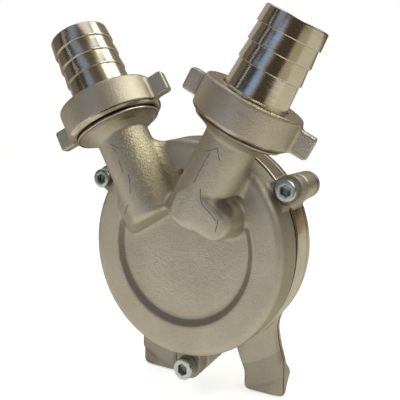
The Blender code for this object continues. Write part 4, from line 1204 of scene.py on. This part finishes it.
def build_flange():
    """Turned band round the casing, with its cut line."""
    r, y0, y1, line = CASING_R + 0.05, CASING_Y, CASING_BACK_Y, CASING_LINE_Y
    back, cut, e = r - FLANGE_DEPTH, r - FLANGE_CUT, CASING_EDGE
    outline = [(back, y0), (r - 0.4, y0), (r, y0 + 0.4), (r, line - 0.6), (cut, line - 0.15),
               (cut, line + 0.15), (r, line + 0.6), (r, y1 - e), (r - e, y1), (back, y1)]
    return shape("casing_flange", [lathe(eased(outline, 0.22), 256)], PUMP)


# Unions


def tail_profile():
    top = TAIL_START + TAIL_FLANGE_T
    first = TAIL_END - BARB_COUNT * BARB_PITCH
    profile = [(TAIL_BORE_R, TAIL_START), (TAIL_FLANGE_R, TAIL_START), (TAIL_FLANGE_R, top),
               (TAIL_CREST_R, top), (TAIL_CREST_R, NUT_TOP + 0.6), (TAIL_ROOT_R, first)]
    for k in range(BARB_COUNT):
        low = first + k * BARB_PITCH
        profile += [(TAIL_CREST_R, low + BARB_RISE), (TAIL_CREST_R, low + BARB_LAND)]
        if k < BARB_COUNT - 1:
            profile.append((TAIL_ROOT_R, low + BARB_PITCH))
    rim, e = TAIL_ROOT_R + TAIL_RIM, TAIL_CHAMFER
    profile += [(rim, TAIL_END - e), (rim - e, TAIL_END)]
    profile += [(TAIL_BORE_R + e, TAIL_END), (TAIL_BORE_R, TAIL_END - e)]
    return eased(profile, 0.18, 3)


def wing(angle):
    """Flat ear of a union nut with round corners."""
    k, foot, tip = WING_CORNER, NUT_R - ROOT_DEPTH, WING_REACH
    t = math.radians(angle)
    c, s = math.cos(t), math.sin(t)
    outline = [(foot, WING_LOW)] + bend((tip - k, WING_LOW), (tip, WING_LOW), (tip, WING_LOW + k), 6)
    outline += [(tip, WING_LOW + k)] + bend((tip, WING_HIGH - k), (tip, WING_HIGH), (tip - k, WING_HIGH), 6)
    outline += [(tip - k, WING_HIGH), (foot, WING_HIGH)]
    sides = (-WING_HALF_T, WING_HALF_T)
    return loft([[(r * c - w * s, y, r * s + w * c) for r, y in outline] for w in sides])


def build_nut(side, finish, tree):
    e = NUT_CHAMFER
    body = [(0, NUT_BOTTOM), (NUT_R - e, NUT_BOTTOM), (NUT_R, NUT_BOTTOM + e)]
    body += arc((NUT_R - e, NUT_TOP - e), e, 0, 90, 8) + [(0, NUT_TOP)]
    low, high = NUT_BOTTOM - OVERRUN, NUT_TOP + OVERRUN
    inner = [(0, low), (NUT_BORE_R, low), (NUT_BORE_R, NUT_LIP)]
    inner += [(NUT_LIP_R, NUT_LIP), (NUT_LIP_R, high), (0, high)]
    turn = WING_TURN[side]
    nut = shape(side + "_union_nut", [lathe(body, 180), wing(turn), wing(turn + 180.0)], PORTS[side])
    hollow = shape("nut_hollow", [lathe(inner, 180)], PORTS[side])
    run_tree(nut, tree, {"Hollow": hollow, "Material": finish, **rounding(NUT_ROUNDING)})
    thrown_away(hollow)
    return nut


def build_nut_lip(side):
    """Turned edge of the hole in a nut's top."""
    r, top, low = NUT_LIP_R - 0.05, NUT_TOP + 0.04, NUT_LIP - 0.04
    out = r + NUT_LIP_WIDTH
    outline = [(r, low), (r, top - 0.3), (r + 0.3, top), (out, top), (out, top - 0.6), (r + 1.2, low)]
    return shape(side + "_nut_lip", [lathe(eased(outline, 0.12), 192)], PORTS[side])


# Screws, shaft and bearing


def one_screw():
    """Socket-head screw along y, with a knurled head and a six-sided socket."""
    count = 96
    turns = np.linspace(0, 2 * math.pi, count, endpoint=False)

    def hexagon(half):
        return [half / math.cos((t + math.pi / 6) % (math.pi / 3) - math.pi / 6) for t in turns]

    def knurl(r, depth):
        return [r - depth * (k % 3 == 0) for k in range(count)]

    def plain(r):
        return [r] * count

    top, seat, tip = HEAD_Y, HEAD_Y + HEAD_H, SCREW_TIP_Y
    rings = [(plain(0.0), top + SOCKET_DEPTH + 0.7), (hexagon(SOCKET_HALF - 0.03), top + SOCKET_DEPTH),
             (hexagon(SOCKET_HALF), top + 0.3), (hexagon(SOCKET_HALF + 0.25), top + 0.02),
             (hexagon(SOCKET_HALF + 0.45), top), (plain(HEAD_R - 0.75), top),
             (plain(HEAD_R - 0.35), top + 0.12), (plain(HEAD_R - 0.1), top + 0.4),
             (knurl(HEAD_R, 0.02), top + 0.75),
             (knurl(HEAD_R, KNURL_DEPTH), top + 0.95), (knurl(HEAD_R, KNURL_DEPTH), seat - 0.5),
             (plain(HEAD_R - 0.05), seat - 0.3), (plain(HEAD_R - 0.3), seat), (plain(SCREW_R + 0.1), seat),
             (plain(SCREW_R), seat + 0.2), (plain(SCREW_R), tip - 0.8), (plain(SCREW_R - 0.8), tip),
             (plain(0.0), tip)]
    verts, faces = [], []
    for radii, y in rings:
        verts += [(r * math.cos(t), y, r * math.sin(t)) for r, t in zip(radii, turns)]
    for n in range(len(rings) - 1):
        for k in range(count):
            m = (k + 1) % count
            faces.append((n * count + k, (n + 1) * count + k, (n + 1) * count + m, n * count + m))
    return verts, faces


def ring_of(name, form, count, radius, start, tree, finish):
    """Copies of one item on a circle about the pump axis."""
    obj = shape(name, [form], Matrix.Scale(MM, 4))
    face_outward(obj.data, WELD * MM)
    values = {"Count": count, "Radius": radius * MM, "Start": math.radians(start), "Material": finish}
    run_tree(obj, tree, values)
    obj.data.transform(PUMP @ Matrix.Scale(1 / MM, 4))
    return obj


def ball():
    middle = (BEARING_Y + BEARING_BACK_Y) / 2
    angles = np.linspace(0, math.pi, 25)
    profile = [(0, middle - BALL_R)]
    profile += [(BALL_R * math.sin(a), middle - BALL_R * math.cos(a)) for a in angles[1:-1]]
    return lathe(profile + [(0, middle + BALL_R)], 36)


def race_ring(outer):
    """Ring of the ball bearing with its groove."""
    low, high, e = BEARING_Y, BEARING_BACK_Y, RACE_CHAMFER
    middle = (low + high) / 2
    r = BALL_R + BALL_PLAY
    end = math.degrees(math.acos(RACE_LAND / r))
    if outer:
        land = BALL_PITCH_R + RACE_LAND
        groove = [(BALL_PITCH_R + u, middle + v) for u, v in arc((0, 0), r, end, -end, 13)]
        return eased([(BEARING_R, low), (BEARING_R, high), (land, high)], e, 3) + groove + [(land, low)]
    land, bore = BALL_PITCH_R - RACE_LAND, SHAFT_R + BEARING_PLAY
    groove = [(BALL_PITCH_R - u, middle + v) for u, v in arc((0, 0), r, -end, end, 13)]
    front = [(bore, high - e), (bore, low + e), (bore + e, low), (land, low)]
    return front + groove + [(land, high), (bore + e, high)]


def build_shaft():
    """Shaft with clip grooves and the driving flat at its back end."""
    r, end = SHAFT_R, SHAFT_END_Y
    before, after, depth = CLIP_GROOVE
    profile = [(0, SHAFT_FRONT_Y), (r - 0.4, SHAFT_FRONT_Y)]
    for y in (IMPELLER_CLIP_Y, CLIP_Y):
        profile += [(r, y - before), (r - depth, y - before), (r - depth, y + after), (r, y + after)]
    profile += [(r, SHAFT_FLAT_Y - 0.01), (r, SHAFT_FLAT_Y), (r, end - 0.8), (r - 0.25, end - 0.25),
                (r - 0.8, end), (0, end)]
    verts, faces = lathe(profile, 128)
    cut = [(x, y, min(z, SHAFT_FLAT) if y >= SHAFT_FLAT_Y else z) for x, y, z in verts]
    return shape("shaft_turned", [(cut, faces)], PUMP)


def clip(name, r_in, r_out, thickness):
    """Spring clip with a gap at the top."""
    y0, y1 = CLIP_Y, CLIP_Y + thickness
    corners = eased([(r_in, y0), (r_out, y0), (r_out, y1), (r_in, y1)], CLIP_ROUND, 2)
    sections = []
    for t in np.radians(np.linspace(90 + CLIP_GAP / 2, 450 - CLIP_GAP / 2, 73)):
        sections.append([(r * math.cos(t), y, r * math.sin(t)) for r, y in corners])
    return shape(name, [loft(sections)], PUMP)


# Finishes of the pieces
# Painted shade on the cover: on the recess slope and the side behind the rim, in the seam groove and in the
# pocket under the step
cover_painted_shades = [(recess_painted_shade, 0.4, 0.6), (side_painted_shade, 0.5, 0.45), (seam_painted_shade, 0.1, 0.9),
                (pocket_painted_shade, 0.2, 0.75)]
# Painted shade in the casing's boss ring grooves and on the feet outside their crease
casing_painted_shades = [(boss_groove_painted_shade, 0.15, 0.85), (foot_painted_shade, 0.55, 0.3)]
# The cover's finish also gets the painted golden sheen and glints on the left neck's inner flank
cast_nickel = cast_finish("cast_nickel_satin", (0.56, 0.52, 0.415), (0.49, 0.45, 0.355), 0.42,
                          cover_painted_shades, flank_painted_sheen)
casing_nickel = cast_finish("cast_nickel_casing", (0.55, 0.51, 0.41), (0.48, 0.44, 0.35), 0.4, casing_painted_shades)
flange_nickel = turned_finish("turned_nickel_flange", (0.62, 0.57, 0.48), (0.50, 0.46, 0.38), 0.2,
                              PUMP_LINE, groove=flange_cut_painted_shade)
tail_nickel, nut_nickel, thread_nickel, collar_nickel = {}, {}, {}, {}
for side, line in PORT_LINES.items():
    tail_nickel[side] = turned_finish(side + "_tail_nickel", (0.72, 0.67, 0.57), (0.60, 0.55, 0.45), 0.16,
                                      line, 0.3, 0.04)
    nut_nickel[side] = nut_finish(side + "_nut_nickel", line)
    thread_nickel[side] = turned_finish(side + "_thread_nickel", (0.62, 0.58, 0.48), (0.5, 0.46, 0.38), 0.3,
                                        line)
    collar_nickel[side] = turned_finish(side + "_collar_nickel", (0.56, 0.51, 0.41), (0.46, 0.42, 0.34), 0.32,
                                        line, groove=collar_line_painted_shade(side))
zinc = zinc_finish("zinc_plate")
# Painted shade: the raised flow lines are coloured dark brown to stand for their shaded sides
arrow_painted_shade = plain_finish("flow_line_stain", (0.19, 0.16, 0.12), 0.6, 0.4, 0.4, 0.03)
ground_steel = turned_finish("ground_steel", (0.60, 0.61, 0.62), (0.50, 0.51, 0.53), 0.2, PUMP_LINE)
spring_steel = plain_finish("spring_steel", (0.24, 0.23, 0.22), 0.35, 1.0, 0.4, 0.03)
brass = plain_finish("impeller_brass", (0.72, 0.53, 0.24), 0.32, 1.0, 0.5, 0.05)
rubber = plain_finish("nitrile_rubber", (0.022, 0.022, 0.022), 0.6, 0.0, 0.4, 0.04)
carbon = plain_finish("carbon_graphite", (0.05, 0.05, 0.055), 0.4, 0.0, 0.4, 0.02)
ceramic = plain_finish("alumina", (0.82, 0.80, 0.75), 0.3, 0.0, 0.6, 0.01)

# Pieces
casting_rounding = casting_tree("casting_rounding", False)
cover = thinned(softened(build_cover(cast_nickel, casting_rounding), 2), MOST_TRIANGLES)
shown(cover, "pump", cast_nickel, ["front_cover"], 50.0)
arrows = build_flow_arrows(cover, arrow_painted_shade)
shown(arrows, "pump", arrow_painted_shade, sharp=60.0)
threads = thread_tree()
for side in SIGNS:
    spigot = build_spigot(side, thread_nickel[side], threads)
    shown(spigot, "pump", thread_nickel[side], sharp=40.0)
    shown(build_collar(side), "pump", collar_nickel[side])

casing = thinned(softened(build_casing(casing_nickel), 2), MOST_TRIANGLES)
shown(casing, "pump", casing_nickel, ["rear_casing"], 50.0)
shown(build_flange(), "pump", flange_nickel)

for side in SIGNS:
    tail = shape(side + "_tail_turned", [lathe(tail_profile(), 256)], PORTS[side])
    shown(tail, side + "_tail", tail_nickel[side], [side + "_hose_tail"], 25.0)
    nut = softened(build_nut(side, nut_nickel[side], casting_rounding), 1)
    shown(nut, side + "_nut", nut_nickel[side], [side + "_wing_nut"], 50.0)
    shown(build_nut_lip(side), side + "_nut", nut_nickel[side])

rings = ring_tree()
screws = ring_of("cover_screws", one_screw(), SCREW_COUNT, SCREW_CIRCLE_R, SCREW_START, rings, zinc)
shown(screws, "pump", zinc, ["screw_left", "screw_right", "screw_bottom"])
balls = ring_of("bearing_balls", ball(), BALL_COUNT, BALL_PITCH_R, 0.0, rings, ground_steel)
ball_nodes = ["bearing_ball_%d" % (k + 1) for k in range(BALL_COUNT)]
shown(balls, "ball_set", ground_steel, ball_nodes, 0.0)
shown(build_shaft(), "rotor", ground_steel, ["drive_shaft"])
for name, body, outer in (("bearing_outer", "pump", True), ("bearing_inner", "rotor", False)):
    race = shape(name, [lathe(race_ring(outer), 128)], PUMP)
    shown(race, body, ground_steel, [name + "_ring"])
shown(clip("hub_clip", *HUB_CLIP), "pump", spring_steel, ["bore_circlip"])
shown(clip("shaft_end_clip", *SHAFT_CLIP), "rotor", spring_steel, ["shaft_circlip"])

# Pieces inside the pump keep their CAD shape
INSIDE = {
    "cover_o_ring": rubber, "left_tail_gasket": rubber, "right_tail_gasket": rubber, "seal_seat_cup": rubber,
    "impeller": brass, "bearing_cage": brass, "impeller_key": ground_steel, "impeller_circlip": spring_steel,
    "seal_spring": spring_steel, "seal_ring": carbon, "seal_seat": ceramic,
}
for name, finish in INSIDE.items():
    for slot in frame["nodes"][name].material_slots:
        slot.material = finish


# Stage, in metres and degrees
WORLD_LIGHT = 0.55
FLOOR_GLOW = 0.5
FLOOR_HALF = 3.0
FLOOR_DROP = 0.0003
CAMERA_PLACE = (0.108145, -0.200555, 0.114896)
CAMERA_TURN = 25.6729
CAMERA_TILT = 1.2695
CAMERA_ROLL = 0.6775
CAMERA_LENS = 45.155
CAMERA_SHIFT = (-0.0806, -0.2114)

# Cards that the metal mirrors: name, azimuths, rows and colour. The bar also hides the window lamps.
BAR = "window_bar"
LOW = ((0.6, 0.0), (0.6, 0.3))
HIGH = ((0.6, 0.3), (0.33, 0.75))
TABLE = ((0.03, 0.001), (0.8, 0.001))
NEAR = ((0.03, 0.001), (0.26, 0.001))
FAR = ((0.26, 0.001), (0.8, 0.001))
CARDS = [
    ("taupe_left_low", (-150, -93), LOW, (0.34, 0.30, 0.25)),
    ("taupe_left_high", (-150, -93), HIGH, (0.46, 0.43, 0.37)),
    ("brown_left_low", (-93, -57), LOW, (0.175, 0.145, 0.115)),
    ("brown_left_high", (-93, -57), HIGH, (0.17, 0.145, 0.115)),
    ("dark_left_low", (-57, -12), LOW, (0.06, 0.055, 0.05)),
    ("dark_left_high", (-57, -26), HIGH, (0.06, 0.055, 0.05)),
    ("light_line", (-42.5, -39.5), ((0.58, 0.22), (0.47, 0.48)), (0.95, 0.9, 0.75)),
    ("blue_strip_low", (-12, 8), LOW, (0.32, 0.46, 0.72)),
    ("rust_edge", (8, 14), LOW, (0.24, 0.13, 0.08)),
    ("blue_strip_high", (-26, -3), HIGH, (0.27, 0.32, 0.42)),
    ("dark_front_low", (14, 50), LOW, (0.07, 0.055, 0.04)),
    ("dark_front_high", (-3, 32), HIGH, (0.13, 0.105, 0.075)),
    ("golden_front_high", (32, 52), HIGH, (0.33, 0.27, 0.16)),
    (BAR, (90.0, 103.0), ((0.5, 0.3), (0.22, 1.0)), (0.1, 0.08, 0.06)),
    ("brown_right", (50, 150), ((0.8, 0.0), (0.8, 0.45)), (0.085, 0.068, 0.05)),
    ("amber_back", (150, 190), ((0.7, 0.0), (0.7, 0.09)), (0.36, 0.27, 0.16)),
    ("brown_back_low", (150, 168), ((0.7, 0.09), (0.7, 0.33)), (0.085, 0.068, 0.05)),
    ("tan_back_low", (168, 212), ((0.705, 0.0), (0.705, 0.33)), (0.22, 0.19, 0.15)),
    ("brown_back_high", (150, 212), ((0.7, 0.33), (0.4, 0.75)), (0.27, 0.23, 0.17)),
    ("table_left", (-175, -80), TABLE, (0.34, 0.29, 0.24)),
    ("table_bright", (-80, -4), FAR, (0.85, 0.83, 0.80)),
    ("table_near", (-80, 80), NEAR, (0.80, 0.76, 0.68)),
    ("table_dark", (-4, 50), FAR, (0.07, 0.055, 0.04)),
    ("table_olive", (50, 80), FAR, (0.42, 0.38, 0.25)),
    ("table_beige", (80, 185), TABLE, (0.64, 0.60, 0.47)),
]

# Lamps: name, place, height that it is aimed at, size, power, colour and whether the metal mirrors it
LAMPS = [
    ("window_left", (0.26, 0.18, 0.56), 0.09, (0.26, 0.3), 0.5, (0.98, 1.0, 0.82), True),
    ("window_right", (0.42, -0.10, 0.56), 0.09, (0.26, 0.3), 0.5, (0.98, 1.0, 0.82), True),
    ("front_soft", (-0.15, -0.7, 0.55), 0.08, (0.5, 0.5), 3.5, (1.0, 0.98, 0.95), False),
]


def stage_material(name, build):
    """A material whose surface shader comes from build(tree)."""
    mat = bpy.data.materials.new(name)
    mat.use_nodes = True
    tree = mat.node_tree
    tree.nodes.clear()
    end = tree.nodes.new("ShaderNodeOutputMaterial")
    tree.links.new(build(tree).socket, end.inputs["Surface"])
    return mat


def card(name, azimuths, rows, colour):
    """Curved card round the pump, seen in its reflections alone. Azimuth 0 is the front, and rows give its
    lower and upper edge as (distance, height)."""
    verts, faces = [], []
    turns = np.radians(np.linspace(*azimuths, 25))
    for t in turns:
        for distance, z in rows:
            verts.append((distance * math.sin(t), -distance * math.cos(t), z))
    for k in range(len(turns) - 1):
        faces.append((2 * k, 2 * k + 2, 2 * k + 3, 2 * k + 1))
    obj = shape(name, [(verts, faces)], Matrix.Identity(4))
    glow = {"Color": rgb(*colour), "Strength": 1.0}
    mat = stage_material(name, lambda tree: Value.node(tree, "ShaderNodeEmission", {}, glow))
    obj.data.materials.append(mat)
    obj.visible_camera = False
    obj.visible_diffuse = False
    obj.visible_shadow = name == BAR


def build_floor():
    """Pale floor that is white to the camera, with the pump's shadow on it."""
    size = FLOOR_HALF
    corners = [(-size, -size, 0), (size, -size, 0), (size, size, 0), (-size, size, 0)]
    floor = shape("floor", [(corners, [(0, 1, 2, 3)])], Matrix.Translation((0, 0, -FLOOR_DROP)))

    def pale(tree):
        seen = Value.node(tree, "ShaderNodeLightPath", {}, {}, "Is Camera Ray")
        chalk = Value.node(tree, "ShaderNodeBsdfDiffuse", {}, {"Color": rgb(0.9, 0.9, 0.89)})
        white = {"Color": rgb(1.0, 1.0, 1.0), "Strength": seen * FLOOR_GLOW}
        glow = Value.node(tree, "ShaderNodeEmission", {}, white)
        return Value.node(tree, "ShaderNodeAddShader", {}, {0: chalk, 1: glow})

    floor.data.materials.append(stage_material("pale_floor", pale))


def build_world():
    """White where it is seen or mirrored, a little softer as light."""
    world = bpy.data.worlds.new("studio")
    world.use_nodes = True
    bpy.context.scene.world = world
    tree = world.node_tree
    tree.nodes.clear()
    path = Value.node(tree, "ShaderNodeLightPath", {}, {}, "Is Camera Ray")
    glossy = Value(tree, path.socket.node.outputs["Is Glossy Ray"])
    clear = Value(tree, path.socket.node.outputs["Is Transmission Ray"])
    seen = path.math("MAXIMUM", glossy).math("MAXIMUM", clear)
    strength = seen + (1.0 - seen) * WORLD_LIGHT
    back = Value.node(tree, "ShaderNodeBackground", {}, {"Color": rgb(1.0, 1.0, 1.0), "Strength": strength})
    tree.links.new(back.socket, tree.nodes.new("ShaderNodeOutputWorld").inputs["Surface"])


def lamp(name, place, target_height, size, power, colour, mirrored):
    data = bpy.data.lights.new(name, "AREA")
    data.shape = "RECTANGLE"
    data.size, data.size_y = size
    data.energy = power
    data.color = colour
    obj = linked(name, data)
    aim = (Vector((0.0, 0.0, target_height)) - Vector(place)).to_track_quat("-Z", "Y")
    obj.matrix_world = Matrix.Translation(place) @ aim.to_matrix().to_4x4()
    obj.visible_glossy = mirrored


def build_camera():
    """Camera turned about the vertical, then tilted up and rolled."""
    data = bpy.data.cameras.new("camera")
    data.sensor_width = 36.0
    data.lens = CAMERA_LENS
    data.shift_x, data.shift_y = CAMERA_SHIFT
    data.clip_start = 0.001
    obj = linked("camera", data)
    turned = Matrix.Identity(4)
    for angle, axis in ((CAMERA_TURN, "Z"), (90.0 + CAMERA_TILT, "X"), (CAMERA_ROLL, "Z")):
        turned = turned @ Matrix.Rotation(math.radians(angle), 4, axis)
    obj.matrix_world = Matrix.Translation(CAMERA_PLACE) @ turned
    bpy.context.scene.camera = obj


build_floor()
build_world()
for row in CARDS:
    card(*row)
for row in LAMPS:
    lamp(*row)
build_camera()
bpy.context.scene.view_settings.view_transform = "Standard"
